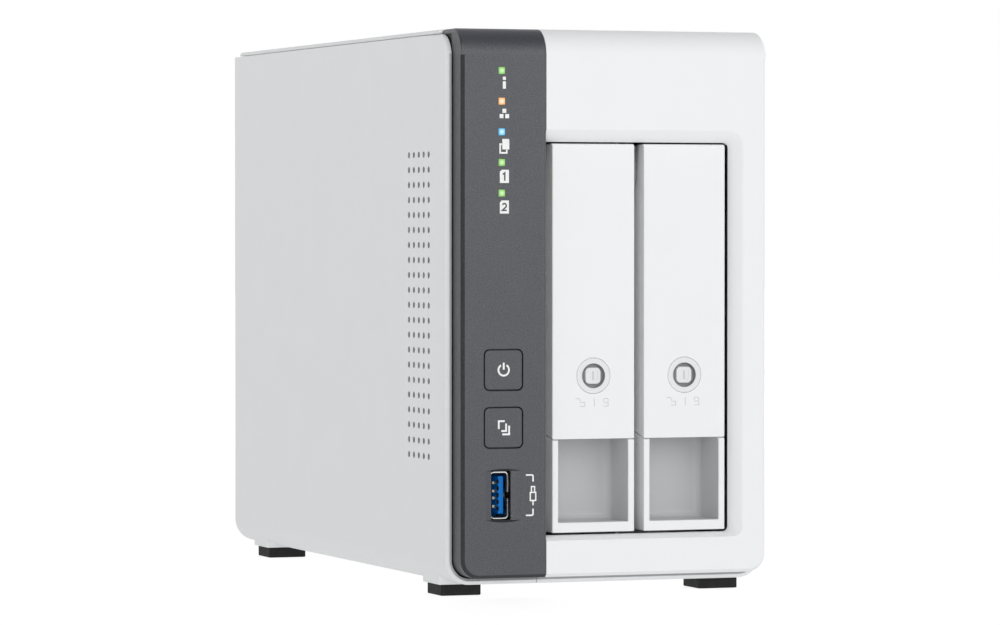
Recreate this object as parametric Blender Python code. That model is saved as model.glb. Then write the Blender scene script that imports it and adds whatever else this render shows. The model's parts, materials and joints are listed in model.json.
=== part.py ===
"""Two-bay desktop storage enclosure: casing, drive trays, drives, boards, ports and fan.

Sizes are in millimetres and every mesh is scaled to metres as it is made.
+X points right as seen from the front, -Y points out of the front and +Z points up.
The origin is on the ground, under the middle of the casing.
Names in capitals are sizes and places; a place is measured from the origin.
"""

import math

import bmesh
import bpy
from mathutils import Vector

MM = 0.001

# Casing
HALF_WIDTH = 50.6
HALF_DEPTH = 110.65
BODY_TOP = 168.35
SHELL_BOTTOM = 4.0
WALL = 1.85
CORNER_RADIUS = 7.5
SIDE_TOP = BODY_TOP - 1.55
RIM_Y = -102.75
BOTTOM_SEAM_X = -22.0
SEAM_GAP = 0.3
RIM_CHAMFER = 0.9

# Vent field in the left wall, counted from its top front hole
VENT_PITCH = 4.5
VENT_COLUMNS = 5
VENT_ROWS = 21
VENT_RADIUS = 1.03
VENT_FIRST_Y = -87.35
VENT_TOP_Z = 131.4

# Front moulding and control panel
FRONT_Y = -HALF_DEPTH
FRONT_HALF_WIDTH = 48.5
FRONT_BOTTOM = 6.35
FRONT_BACK_Y = FRONT_Y + 16.9
FRONT_TOP_RADIUS = 8.0
FRONT_CORNER_RADIUS = 5.45
FRONT_EDGE_RADIUS = 1.2
FRONT_CHAMFER = 1.0
PANEL_WALL = 2.2
BEZEL_WALL = 4.25
PANEL_EDGE_X = -22.1
BEZEL_EDGE_X = -21.9

# Bay mouth: a sloping band leads from the front face in to the opening
BAND_DEPTH = 3.0
MOUTH_OUTER = {"right": 41.2, "bottom": 17.1, "top": 138.6, "radius": 3.5}
MOUTH_INNER = {"right": 37.25, "bottom": 18.55, "top": 135.15, "radius": 1.6}

# Trays
TRAY_WIDTH = 26.1
TRAY_LEFT_X = (-19.1, 10.05)
TRAY_FRONT_Y = FRONT_Y + 2.5
TRAY_BOTTOM = 19.2
TRAY_TOP = 134.5
TRAY_SEAM_Z = 46.85
SEAM_SLOPE = math.tan(math.radians(13.0))
HANDLE_DEPTH = 9.0
HANDLE_WALL = 1.8
HINGE_Y = TRAY_FRONT_Y + 3.75
HINGE_Z = 129.2
PIN_RADIUS = 1.0
TRAY_BACK_Y = -91.0
TRAY_PLATE_Y = TRAY_FRONT_Y + HANDLE_DEPTH + 0.55
POCKET_SIDE = 1.95
POCKET_FLOOR_Z = 22.2
POCKET_BACK_Y = -92.65
RAIL_END_Y = 57.0
RAIL_BOTTOM_Z = 21.5
RAIL_TOP_Z = 129.4
RAIL_THICKNESS = 2.5
WEB_OFFSET = 1.4
WEB_THICKNESS = 1.0

# Lock in each handle
LOCK_Z = 65.65
LOCK_RADIUS = 5.25
LOCK_RECESS_RADIUS = 3.58
LOCK_CLEARANCE = 0.2

# Hard drives, standing on edge
DRIVE_THICKNESS = 25.9
DRIVE_HEIGHT = 101.6
DRIVE_LENGTH = 147.0
DRIVE_FRONT_Y = -90.2
DRIVE_BOTTOM_Z = 24.6

# Control panel fittings
LIGHT_X = -35.9
LIGHT_TOP_Z = 155.8
LIGHT_PITCH = 9.0
LIGHT_SIDE = 2.0
BUTTON_X = -35.4
BUTTON_SIDE = 11.75
BUTTON_GAP = 0.25
BUTTON_TRAVEL = 1.0
POWER_Z = 67.75
COPY_Z = 50.75
USB_X = -35.9
USB_Z = 30.75
USB_SHELL = (5.8, 14.1)
PORT_ROOM = (3.2, 3.9)
BOARD_THICKNESS = 1.6
FRONT_BOARD_Y = -99.6

# Boards and cage
MAIN_BOARD_X = -27.8
CAGE_X = (-22.9, 39.4)
CAGE_Y = (-93.0, 61.0)
CAGE_Z = (15.6, 137.6)
SHEET = 1.2
BACKPLANE_Y = 63.0

# Rear panel and fan
REAR_OUTER_Y = 108.6
REAR_WALL = 2.0
REAR_INNER_Y = REAR_OUTER_Y - REAR_WALL
FAN_X = 13.0
FAN_Z = 86.0
FAN_SIDE = 70.0
FAN_DEPTH = 25.0
FAN_BORE_RADIUS = 33.0
FAN_HOLE_PITCH = 61.5
FAN_HUB_RADIUS = 14.0
FAN_BLADES = 7
FAN_MIDDLE_Y = REAR_INNER_Y - 0.3 - FAN_DEPTH / 2 - 2.0
PORT_X = (-41.6, -28.1)
JACK_LOWS = (59.35, 79.35)
JACK_HEIGHT = 16.0
REAR_PORT_LEFT = -34.2
REAR_PORT_LOWS = (24.35, 41.35)
REAR_PORT_HEIGHT = 13.4
POWER_CENTRE = (-34.4, 108.8)
POWER_HALF = 5.2
RESET_CENTRE = (-34.4, 122.6)
RESET_TRAVEL = 0.6
REAR_SCREW_X = 45.2
REAR_SCREW_Z = (13.4, 152.0)

# Feet
FOOT_X = 41.45
FOOT_SIZE = 12.6
FOOT_Y = (-84.1, 87.5)
FOOT_HEIGHT = 3.2
BOSS_BOTTOM = 3.4
BOSS_MARGIN = 1.0


# ---------------------------------------------------------------- outlines


def arc(centre, radius, start, stop, steps):
    """Points on an arc, from the angle start to the angle stop in degrees."""
    turns = [math.radians(start + (stop - start) * i / steps) for i in range(steps + 1)]
    return [(centre[0] + radius * math.cos(a), centre[1] + radius * math.sin(a)) for a in turns]


def rectangle(left, right, low, high, radii=(0.0, 0.0, 0.0, 0.0), steps=4):
    """Outline with a radius for each corner: low left, low right, high right, high left."""
    corners = (
        (left, low, 1, 1, 180),
        (right, low, -1, 1, 270),
        (right, high, -1, -1, 0),
        (left, high, 1, -1, 90),
    )
    points = []
    for (x, z, side, up, start), radius in zip(corners, radii):
        if radius:
            points += arc((x + side * radius, z + up * radius), radius, start, start + 90, steps)
        else:
            points.append((x, z))
    return points


def square(centre, side, radius=0.0, steps=3):
    half = side / 2
    x, z = centre
    return rectangle(x - half, x + half, z - half, z + half, (radius,) * 4, steps)


def circle(centre, radius, steps):
    return arc(centre, radius, 0, 360, steps)[:-1]


# ------------------------------------------------------------------ solids


def placed(axis, point, along):
    """A 3-D point from a 2-D point of an outline and a distance along the axis."""
    a, b = point
    return {"X": (along, a, b), "Y": (a, along, b), "Z": (a, b, along)}[axis]


def skinned(rings):
    """Closed body through rings of equal point counts, capped at both ends."""
    body = bmesh.new()
    loops = [[body.verts.new(Vector(point)) for point in ring] for ring in rings]
    count = len(loops[0])
    for near, far in zip(loops, loops[1:]):
        for i in range(count):
            j = (i + 1) % count
            body.faces.new((near[i], near[j], far[j], far[i]))
    body.faces.new(loops[0])
    body.faces.new(list(reversed(loops[-1])))
    bmesh.ops.recalc_face_normals(body, faces=body.faces)
    return body


def prism(outline, axis, start, stop):
    """An outline pushed along an axis. It lies in YZ, XZ or XY for X, Y or Z."""
    return skinned([[placed(axis, point, along) for point in outline] for along in (start, stop)])


def stepped(axis, stations):
    """A stack of outlines, each a pair of its place along the axis and its points."""
    return skinned([[placed(axis, point, along) for point in outline] for along, outline in stations])


def block(x, y, z):
    return prism(rectangle(x[0], x[1], z[0], z[1]), "Y", y[0], y[1])


def rod(axis, centre, radius, start, stop, steps=16):
    return prism(circle(centre, radius, steps), axis, start, stop)


def turned(axis, centre, profile, steps):
    """A closed turned body from (place along the axis, radius) pairs, capped at both ends."""
    return stepped(axis, [(along, circle(centre, radius, steps)) for along, radius in profile])


def together(*bodies):
    """Several bodies in one mesh, for a cutter that works in many places."""
    whole = bmesh.new()
    for body in bodies:
        mesh = bpy.data.meshes.new("part")
        body.to_mesh(mesh)
        body.free()
        whole.from_mesh(mesh)
        bpy.data.meshes.remove(mesh)
    return whole


# ------------------------------------------------------ objects and helpers


def clear_scene():
    for old in list(bpy.data.objects):
        bpy.data.objects.remove(old, do_unlink=True)


def material(name, colour, roughness, metallic=0.0):
    """Principled material; the colour is given as display values from 0 to 1."""
    made = bpy.data.materials.new(name)
    made.use_nodes = True
    shader = made.node_tree.nodes["Principled BSDF"]
    linear = [c / 12.92 if c <= 0.04045 else ((c + 0.055) / 1.055) ** 2.4 for c in colour]
    shader.inputs["Base Color"].default_value = (*linear, 1.0)
    shader.inputs["Roughness"].default_value = roughness
    shader.inputs["Metallic"].default_value = metallic
    return made


PIVOT = {}


def placed_object(name, data, pivot, parent):
    """Links an object whose origin is at the pivot, given in the model's frame."""
    made = bpy.data.objects.new(name, data)
    bpy.context.scene.collection.objects.link(made)
    base = PIVOT[parent.name] if parent else Vector()
    made.parent = parent
    made.location = (Vector(pivot) - base) * MM
    PIVOT[name] = Vector(pivot)
    return made


def mesh_from(name, body, pivot):
    bmesh.ops.translate(body, verts=body.verts, vec=-Vector(pivot))
    bmesh.ops.scale(body, verts=body.verts, vec=(MM, MM, MM))
    mesh = bpy.data.meshes.new(name)
    body.to_mesh(mesh)
    body.free()
    return mesh


def piece(name, body, finish, pivot=(0, 0, 0), parent=None, smooth=False):
    mesh = mesh_from(name, body, pivot)
    mesh.materials.append(finish)
    if smooth:
        mesh.shade_smooth()
        mesh.set_sharp_from_angle(angle=math.radians(35))
    return placed_object(name, mesh, pivot, parent)


def carrier(name, pivot, parent=None):
    """An empty that carries the pieces which move together."""
    made = placed_object(name, None, pivot, parent)
    made.empty_display_size = 10 * MM
    return made


def shaped(target, operation, body):
    """Adds a Boolean to the target. The helper body stays hidden and follows the target."""
    name = f"{target.name}_{operation.lower()}_{len(target.modifiers)}"
    helper = placed_object(name, mesh_from(name, body, PIVOT[target.name]), PIVOT[target.name], target)
    helper.hide_render = True
    helper.display_type = "WIRE"
    modifier = target.modifiers.new(name, "BOOLEAN")
    modifier.object = helper
    modifier.operation = operation
    modifier.solver = "EXACT"


def cut(target, *bodies):
    shaped(target, "DIFFERENCE", together(*bodies))


def add(target, *bodies):
    for body in bodies:
        shaped(target, "UNION", body)


# ----------------------------------------------------------------- casing


def sheet_ring(y, side, seam, inset):
    """Wall, rounded corner and bottom plate at one place along Y; side is -1 for left.

    seam is how far the bottom plate's free edge is from the middle, counted towards that side.
    inset thins the sheet from its outer face, for the chamfer round the front rim.
    """
    centre = (HALF_WIDTH - CORNER_RADIUS, SHELL_BOTTOM + CORNER_RADIUS)
    inner_radius = CORNER_RADIUS - WALL
    outer = [(HALF_WIDTH - inset, SIDE_TOP)] + arc(centre, CORNER_RADIUS - inset, 0, -90, 8)
    outer.append((seam, SHELL_BOTTOM + inset))
    inner = [(seam, SHELL_BOTTOM + WALL)] + arc(centre, inner_radius, -90, 0, 8)
    inner.append((HALF_WIDTH - WALL, SIDE_TOP))
    return [(side * x, y, z) for x, z in outer + inner]


def boss_outline(side):
    """Pad that carries a foot, run up into the rounded corner of the sheet."""
    outer_x = FOOT_X + FOOT_SIZE / 2 + BOSS_MARGIN
    inner_x = FOOT_X - FOOT_SIZE / 2 - BOSS_MARGIN
    centre = (HALF_WIDTH - CORNER_RADIUS, SHELL_BOTTOM + CORNER_RADIUS)
    radius = CORNER_RADIUS - WALL / 2
    reach = -math.degrees(math.acos((outer_x - centre[0]) / radius))
    curve = arc(centre, radius, -90, reach, 4)
    points = [(inner_x, BOSS_BOTTOM), (outer_x, BOSS_BOTTOM)] + curve[::-1]
    points.append((inner_x, SHELL_BOTTOM + WALL / 2))
    return [(side * x, z) for x, z in points]


def side_cover(name, side, seam, finish):
    """One sheet bent from a side wall into its share of the bottom."""
    stations = ((RIM_Y, RIM_CHAMFER), (RIM_Y + RIM_CHAMFER, 0), (HALF_DEPTH, 0))
    sheet = skinned([sheet_ring(y, side, seam, inset) for y, inset in stations])
    cover = piece(name, sheet, finish, smooth=True)
    reach = FOOT_SIZE / 2 + BOSS_MARGIN
    for y in FOOT_Y:
        add(cover, prism(boss_outline(side), "Y", y - reach, y + reach))
    wall_x = sorted((side * (HALF_WIDTH - WALL / 2), side * (REAR_SCREW_X - 3.5)))
    screw_holes = []
    for z in REAR_SCREW_Z:
        add(cover, block(wall_x, (REAR_INNER_Y - 10.3, REAR_INNER_Y - 0.3), (z - 4, z + 4)))
        screw_holes.append(rod("Y", (side * REAR_SCREW_X, z), 1.6, 98.0, 108.0, 12))
    corner = arc((RIM_Y + CORNER_RADIUS, SIDE_TOP - CORNER_RADIUS), CORNER_RADIUS, 180, 90, 6)
    over = SIDE_TOP + 1
    corner += [(RIM_Y + CORNER_RADIUS, over), (RIM_Y - 1, over), (RIM_Y - 1, SIDE_TOP - CORNER_RADIUS)]
    across = sorted((side * (HALF_WIDTH + 1), side * (HALF_WIDTH - WALL - 1)))
    cut(cover, prism(corner, "X", *across), *screw_holes)
    return cover


def left_cover(finish):
    cover = side_cover("left_cover", -1, -BOTTOM_SEAM_X + SEAM_GAP / 2, finish)
    holes = []
    for column in range(VENT_COLUMNS):
        for row in range(VENT_ROWS):
            centre = (VENT_FIRST_Y + column * VENT_PITCH, VENT_TOP_Z - row * VENT_PITCH)
            holes.append(rod("X", centre, VENT_RADIUS, -HALF_WIDTH - 1, -HALF_WIDTH + WALL + 1, 6))
    cut(cover, *holes)


def right_cover(finish):
    cover = side_cover("right_cover", 1, BOTTOM_SEAM_X + SEAM_GAP / 2, finish)
    slots = []
    for row in range(8):
        y = -44 + row * 8
        slots.append(block((-8, 30), (y - 1.5, y + 1.5), (SHELL_BOTTOM - 1, SHELL_BOTTOM + WALL + 1)))
    cut(cover, *slots)


def top_cover(finish):
    """Lid plate with rounded long edges and a flange down inside each side wall."""
    half, edge, low = 49.3, 1.2, SIDE_TOP + 0.35
    outline = rectangle(-half, half, low, BODY_TOP, (0, 0, edge, edge), 3)
    front_y, rear_y = FRONT_BACK_Y + SEAM_GAP, HALF_DEPTH - 1.8
    lid = piece("top_cover", prism(outline, "Y", front_y, rear_y), finish, smooth=True)
    for side in (-1, 1):
        across = sorted((side * 46.8, side * 48.4))
        add(lid, block(across, (front_y + 0.5, REAR_INNER_Y - 0.4), (158.2, low + 0.5)))


def front_ring(y, left, right, low, high, radii):
    return [(x, y, z) for x, z in rectangle(left, right, low, high, radii, 4)]


def front_body(left, right, wall, stop_y, chamfer):
    """Front moulding between two x places, or its hollow when wall is above 0.

    Its top front edge is a large arc, so each ring's top follows that arc.
    chamfer holds how much the front face is inset at the left, right and bottom.
    """
    radius = FRONT_TOP_RADIUS - wall
    centre_y = FRONT_Y + FRONT_TOP_RADIUS
    centre_z = BODY_TOP - FRONT_TOP_RADIUS
    low = FRONT_BOTTOM + wall
    corner = FRONT_CORNER_RADIUS - wall
    edge = max(FRONT_EDGE_RADIUS - wall, 0)
    rounds = (corner if chamfer[0] else 0, corner if chamfer[1] else 0)
    tops = (edge if chamfer[1] else 0, edge if chamfer[0] else 0)
    start_y = FRONT_BACK_Y + (1.0 if wall else 0.0)
    rings = [front_ring(start_y, left, right, low, BODY_TOP - wall, rounds + tops)]
    bevel_y = stop_y if wall else FRONT_Y + FRONT_CHAMFER
    last = math.degrees(math.asin((centre_y - bevel_y) / radius))
    for step in range(5):
        turn = math.radians(last * step / 4)
        y = centre_y - radius * math.sin(turn)
        top = centre_z + radius * math.cos(turn)
        rings.append(front_ring(y, left, right, low, top, rounds + tops))
    if not wall:
        inset = [FRONT_CHAMFER if on else 0 for on in chamfer]
        small = tuple(r - FRONT_CHAMFER if r else 0 for r in rounds) + tops
        face = (left + inset[0], right - inset[1], low + inset[2], centre_z)
        rings.append(front_ring(FRONT_Y, *face, small))
    return skinned(rings)


def mouth_ring(y, sizes):
    radii = (0, sizes["radius"], sizes["radius"], 0)
    points = rectangle(-30, sizes["right"], sizes["bottom"], sizes["top"], radii, 4)
    return [(x, y, z) for x, z in points]


def front_bezel(finish):
    """White front moulding: open to the bays and closed behind the control panel by a stile."""
    body = front_body(BEZEL_EDGE_X, FRONT_HALF_WIDTH, 0, FRONT_Y, (0, 1, 1))
    bezel = piece("front_bezel", body, finish, smooth=True)
    cavity_front = FRONT_Y + BEZEL_WALL
    cut(bezel, front_body(BEZEL_EDGE_X - 2, FRONT_HALF_WIDTH - 2.0, 2.0, cavity_front, (0, 1, 1)))
    over = 0.5 / BAND_DEPTH
    proud = {key: MOUTH_OUTER[key] + (MOUTH_OUTER[key] - MOUTH_INNER[key]) * over for key in MOUTH_OUTER}
    mouth = skinned([
        mouth_ring(FRONT_Y - 0.5, proud),
        mouth_ring(FRONT_Y + BAND_DEPTH, MOUTH_INNER),
        mouth_ring(cavity_front + 1, MOUTH_INNER),
    ])
    cut(bezel, mouth)
    stile_y = (cavity_front + 0.4, FRONT_BACK_Y - 0.6)
    add(
        bezel,
        block((-24.0, -22.4), stile_y, (9.0, 165.0)),
        block((-23.0, -19.0), (cavity_front - 0.4, cavity_front + 4), (141.0, 150.0)),
        block((-23.0, -19.0), (cavity_front - 0.4, cavity_front + 4), (9.4, 15.0)),
    )


def control_panel(finish):
    """Dark front cap over the board: holes for lights, buttons and the front port."""
    stop_y = FRONT_Y + PANEL_WALL
    body = front_body(-FRONT_HALF_WIDTH, PANEL_EDGE_X, 0, FRONT_Y, (1, 0, 1))
    panel = piece("control_panel", body, finish, smooth=True)
    inner_left = -FRONT_HALF_WIDTH + PANEL_WALL
    cut(panel, front_body(inner_left, PANEL_EDGE_X + 2, PANEL_WALL, stop_y, (1, 0, 1)))
    near, far = FRONT_Y - 1, stop_y + 1
    openings = []
    for index in range(5):
        centre = (LIGHT_X, LIGHT_TOP_Z - index * LIGHT_PITCH)
        openings.append(prism(square(centre, LIGHT_SIDE + 0.4), "Y", near, far))
    for z in (POWER_Z, COPY_Z):
        openings.append(prism(square((BUTTON_X, z), BUTTON_SIDE + 2 * BUTTON_GAP, 1.7), "Y", near, far))
    half_z = USB_SHELL[1] / 2 + 0.4
    port = rectangle(USB_X - PORT_ROOM[0], USB_X + PORT_ROOM[1], USB_Z - half_z, USB_Z + half_z)
    openings.append(prism(port, "Y", near, far))
    cut(panel, *openings)


# --------------------------------------------------- control panel fittings


def light_pipe(name, index, finish):
    """Clear square pipe that brings one board light to the panel's face."""
    centre = (LIGHT_X, LIGHT_TOP_Z - index * LIGHT_PITCH)
    face, collar = square(centre, LIGHT_SIDE), square(centre, 3.4)
    inner_y = FRONT_Y + PANEL_WALL + 0.25
    stations = ((FRONT_Y, face), (inner_y, face), (inner_y, collar), (inner_y + 1, collar))
    stations += ((inner_y + 1, face), (FRONT_BOARD_Y - 1, face))
    piece(name, stepped("Y", stations), finish)


def press_button(name, z, finish):
    """Button cap with a flange behind the panel and a stem towards its switch."""
    cap = square((BUTTON_X, z), BUTTON_SIDE, 1.5)
    flange = square((BUTTON_X, z), BUTTON_SIDE + 2.0, 1.5)
    stem = square((BUTTON_X, z), 4.0, 1.0)
    inner_y = FRONT_Y + PANEL_WALL + 0.25
    stations = ((FRONT_Y, cap), (inner_y, cap), (inner_y, flange), (inner_y + 1, flange))
    stations += ((inner_y + 1, stem), (inner_y + 2.5, stem))
    piece(name, stepped("Y", stations), finish, pivot=(BUTTON_X, FRONT_Y, z), smooth=True)


def push_switch(name, z, finish):
    """Tact switch on the front board; a full press stops just short of its plunger."""
    base = square((BUTTON_X, z), 6.0)
    plunger = square((BUTTON_X, z), 3.0)
    tip_y = FRONT_Y + PANEL_WALL + 0.25 + 2.5 + BUTTON_TRAVEL + 0.3
    stations = ((tip_y, plunger), (tip_y + 1.2, plunger), (tip_y + 1.2, base), (FRONT_BOARD_Y - 0.2, base))
    piece(name, stepped("Y", stations), finish)


def front_board(finish):
    """Narrow board behind the control panel, notched for the front port."""
    y = (FRONT_BOARD_Y, FRONT_BOARD_Y + BOARD_THICKNESS)
    board = piece("front_board", block((-45.5, -25.5), y, (18.0, 161.0)), finish)
    half = USB_SHELL[1] / 2 + 0.4
    cut(board, block((USB_X - 3.4, -20), (y[0] - 1, y[1] + 1), (USB_Z - half, USB_Z + half)))


def front_port(shell_finish, tongue_finish):
    """Upright port: a steel sleeve and, inside it, a tongue on a rear block."""
    half_x, half_z = USB_SHELL[0] / 2, USB_SHELL[1] / 2
    front_y, rear_y = FRONT_Y + 2.2, FRONT_Y + 18.4
    outline = rectangle(USB_X - half_x, USB_X + half_x, USB_Z - half_z, USB_Z + half_z)
    sleeve = prism(outline, "Y", front_y, rear_y)
    shell = piece("usb_front_shell", sleeve, shell_finish)
    wall = 0.4
    in_x, in_z = half_x - wall, half_z - wall
    mouth_z = (USB_Z - in_z, USB_Z + in_z)
    cut(shell, block((USB_X - in_x, USB_X + in_x), (front_y - 1, rear_y + 1), mouth_z))
    tongue_x = (USB_X + 0.2, USB_X + 2.2)
    tongue = block(tongue_x, (front_y + 1.0, rear_y - 4), (USB_Z - 5.55, USB_Z + 5.55))
    insert = piece("usb_front_tongue", tongue, tongue_finish)
    rear_block_z = (USB_Z - 6.4, USB_Z + 6.4)
    add(insert, block((USB_X - 2.3, USB_X + 2.3), (rear_y - 5, rear_y - 0.5), rear_block_z))


# ------------------------------------------------------------------- trays


def tray_profile():
    """Side view of the tray front: pocket box below the seam, plate behind the handle."""
    rise = (TRAY_PLATE_Y - TRAY_FRONT_Y) * SEAM_SLOPE
    low_seam = TRAY_SEAM_Z - SEAM_GAP
    return [
        (TRAY_FRONT_Y, TRAY_BOTTOM),
        (TRAY_BACK_Y, TRAY_BOTTOM),
        (TRAY_BACK_Y, TRAY_TOP - 0.3),
        (TRAY_PLATE_Y, TRAY_TOP - 0.3),
        (TRAY_PLATE_Y, low_seam + rise),
        (TRAY_FRONT_Y, low_seam),
    ]


def ear_outline():
    """Hinge ear: a round end on the pin, with its neck kept below the swing of the handle's top."""
    reach = TRAY_PLATE_Y + 0.5
    round_end = arc((HINGE_Y, HINGE_Z), 1.55, 45, 225, 8)
    return round_end + [(reach, HINGE_Z - 10.0), (reach, HINGE_Z - 3.5)]


def tray_frame(index, parent, finish):
    """Tray body: front box with a finger pocket, two rails and a side web round the drive."""
    left = TRAY_LEFT_X[index]
    right = left + TRAY_WIDTH
    name = f"tray_{index + 1}_frame"
    frame = piece(name, prism(tray_profile(), "X", left, right), finish, PIVOT[parent.name], parent)
    flange_z = (RAIL_BOTTOM_Z, RAIL_TOP_Z)
    web_x = (left - WEB_OFFSET, left - WEB_OFFSET + WEB_THICKNESS)
    add(
        frame,
        block((web_x[0], left + 1), (-95.0, TRAY_BACK_Y), flange_z),
        block(web_x, (-93.0, RAIL_END_Y - 6), flange_z),
        block((web_x[0], right), (-93.0, RAIL_END_Y), (RAIL_BOTTOM_Z, RAIL_BOTTOM_Z + RAIL_THICKNESS)),
        block((web_x[0], right), (-93.0, RAIL_END_Y), (RAIL_TOP_Z - RAIL_THICKNESS, RAIL_TOP_Z)),
    )
    for ear_x in (left + 2.1, right - 4.1):
        add(frame, prism(ear_outline(), "X", ear_x, ear_x + 2.0))
    pocket_x = (left + POCKET_SIDE, right - POCKET_SIDE)
    windows = [block((left - 5, left + 0.5), (y, y + 40), (34.0, 117.0)) for y in (-82.0, -36.0, 10.0)]
    cut(
        frame,
        block(pocket_x, (TRAY_FRONT_Y - 1, POCKET_BACK_Y), (POCKET_FLOOR_Z, TRAY_SEAM_Z + 2.6)),
        block((left + 2, right - 2), (TRAY_PLATE_Y + 2.4, TRAY_BACK_Y + 1), (56.0, 124.0)),
        rod("X", (HINGE_Y, HINGE_Z), PIN_RADIUS + 0.05, left, right),
        *windows,
    )


def tray_handle(index, parent, finish):
    """Lever that forms the upper face of the tray, hollow behind, hinged near its top."""
    left = TRAY_LEFT_X[index]
    right = left + TRAY_WIDTH
    rear_y = TRAY_FRONT_Y + HANDLE_DEPTH
    edge = arc((TRAY_FRONT_Y + 1.2, TRAY_TOP - 1.2), 1.2, 180, 90, 3)
    outline = edge + [
        (TRAY_FRONT_Y + 5.55, TRAY_TOP),
        (TRAY_FRONT_Y + 5.55, HINGE_Z - 5.0),
        (rear_y, HINGE_Z - 11.0),
        (rear_y, TRAY_SEAM_Z + HANDLE_DEPTH * SEAM_SLOPE),
        (TRAY_FRONT_Y, TRAY_SEAM_Z),
    ]
    name = f"tray_{index + 1}_handle"
    handle = piece(name, prism(outline, "X", left, right), finish, PIVOT[parent.name], parent)
    face_y = TRAY_FRONT_Y + 2.0
    hollow_x = (left + HANDLE_WALL, right - HANDLE_WALL)
    lock_centre = (left + TRAY_WIDTH / 2, LOCK_Z)
    cut(handle, block(hollow_x, (face_y, rear_y + 1), (TRAY_SEAM_Z + 4, HINGE_Z + 3.0)))
    cut(
        handle,
        rod("X", (HINGE_Y, HINGE_Z), PIN_RADIUS + 0.1, left + 0.7, right - 0.7),
        rod("Y", lock_centre, LOCK_RADIUS + LOCK_CLEARANCE, TRAY_FRONT_Y - 1, face_y + 1, 24),
    )


def tray_lock(index, parent, finish):
    """Lock barrel: flush disc with a sunk centre, a raised square with a key slit, and a cam."""
    centre = (TRAY_LEFT_X[index] + TRAY_WIDTH / 2, LOCK_Z)
    flange_y = TRAY_FRONT_Y + 2.25
    tail_y = TRAY_FRONT_Y + 6.8
    profile = (
        (TRAY_FRONT_Y, LOCK_RADIUS),
        (flange_y, LOCK_RADIUS),
        (flange_y, LOCK_RADIUS + 1.1),
        (flange_y + 1.2, LOCK_RADIUS + 1.1),
        (flange_y + 1.2, 2.5),
        (tail_y, 2.5),
    )
    name = f"tray_{index + 1}_lock"
    x, z = centre
    lock = piece(name, turned("Y", centre, profile, 24), finish, (x, TRAY_FRONT_Y, z), parent, True)
    floor_y = TRAY_FRONT_Y + 1.3
    slit_z = (z - 1.4, z + 1.4)
    cut(lock, rod("Y", centre, LOCK_RECESS_RADIUS, TRAY_FRONT_Y - 1, floor_y, 24))
    add(lock, prism(square(centre, 4.9, 1.2), "Y", TRAY_FRONT_Y + 0.4, floor_y + 0.4))
    cut(lock, block((x - 0.4, x + 0.4), (TRAY_FRONT_Y - 1, floor_y - 0.1), slit_z))
    add(lock, block((x - 1.4, x + 6.0), (tail_y - 1.6, tail_y - 0.4), slit_z))


def tray_clips(index, parent, finish):
    """Snap-in strips along the rails that hold the drive."""
    middle = TRAY_LEFT_X[index] + TRAY_WIDTH / 2
    for side, low in (("lower", RAIL_BOTTOM_Z - 2.2), ("upper", RAIL_TOP_Z + 0.3)):
        strip = block((middle - 5, middle + 5), (-70.0, 40.0), (low, low + 1.9))
        piece(f"tray_{index + 1}_{side}_clip", strip, finish, PIVOT[parent.name], parent)


def hard_drive(index, parent, finish):
    """Drive standing on edge, with a notch for the connector in its rear end."""
    left = TRAY_LEFT_X[index] + 0.1
    y = (DRIVE_FRONT_Y, DRIVE_FRONT_Y + DRIVE_LENGTH)
    z = (DRIVE_BOTTOM_Z, DRIVE_BOTTOM_Z + DRIVE_HEIGHT)
    x = (left, left + DRIVE_THICKNESS)
    body = prism(rectangle(x[0], x[1], z[0], z[1], (1.0,) * 4, 1), "Y", *y)
    drive = piece(f"drive_{index + 1}", body, finish, PIVOT[parent.name], parent)
    cut(
        drive,
        block((x[0] + 2.5, x[0] + 10.5), (y[1] - 6, y[1] + 1), (z[0] + 3, z[0] + 50)),
        block((x[1] - 1.2, x[1] + 1), (y[0] + 8, y[1] - 34), (z[0] + 8, z[1] - 8)),
    )


def tray(index, plastic, steel, grey, metal):
    left = TRAY_LEFT_X[index]
    middle = left + TRAY_WIDTH / 2
    middle_z = (TRAY_BOTTOM + TRAY_TOP) / 2
    slider = carrier(f"tray_{index + 1}_slide_point", (middle, TRAY_FRONT_Y, middle_z))
    hinge = carrier(f"tray_{index + 1}_hinge_point", (middle, HINGE_Y, HINGE_Z), slider)
    tray_frame(index, slider, plastic)
    tray_handle(index, hinge, plastic)
    tray_lock(index, hinge, grey)
    tray_clips(index, slider, grey)
    hard_drive(index, slider, metal)
    pin = rod("X", (HINGE_Y, HINGE_Z), PIN_RADIUS, left + 0.9, left + TRAY_WIDTH - 0.9)
    piece(f"tray_{index + 1}_hinge_pin", pin, steel, PIVOT[slider.name], slider, smooth=True)


# --------------------------------------------------------- cage and boards


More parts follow.
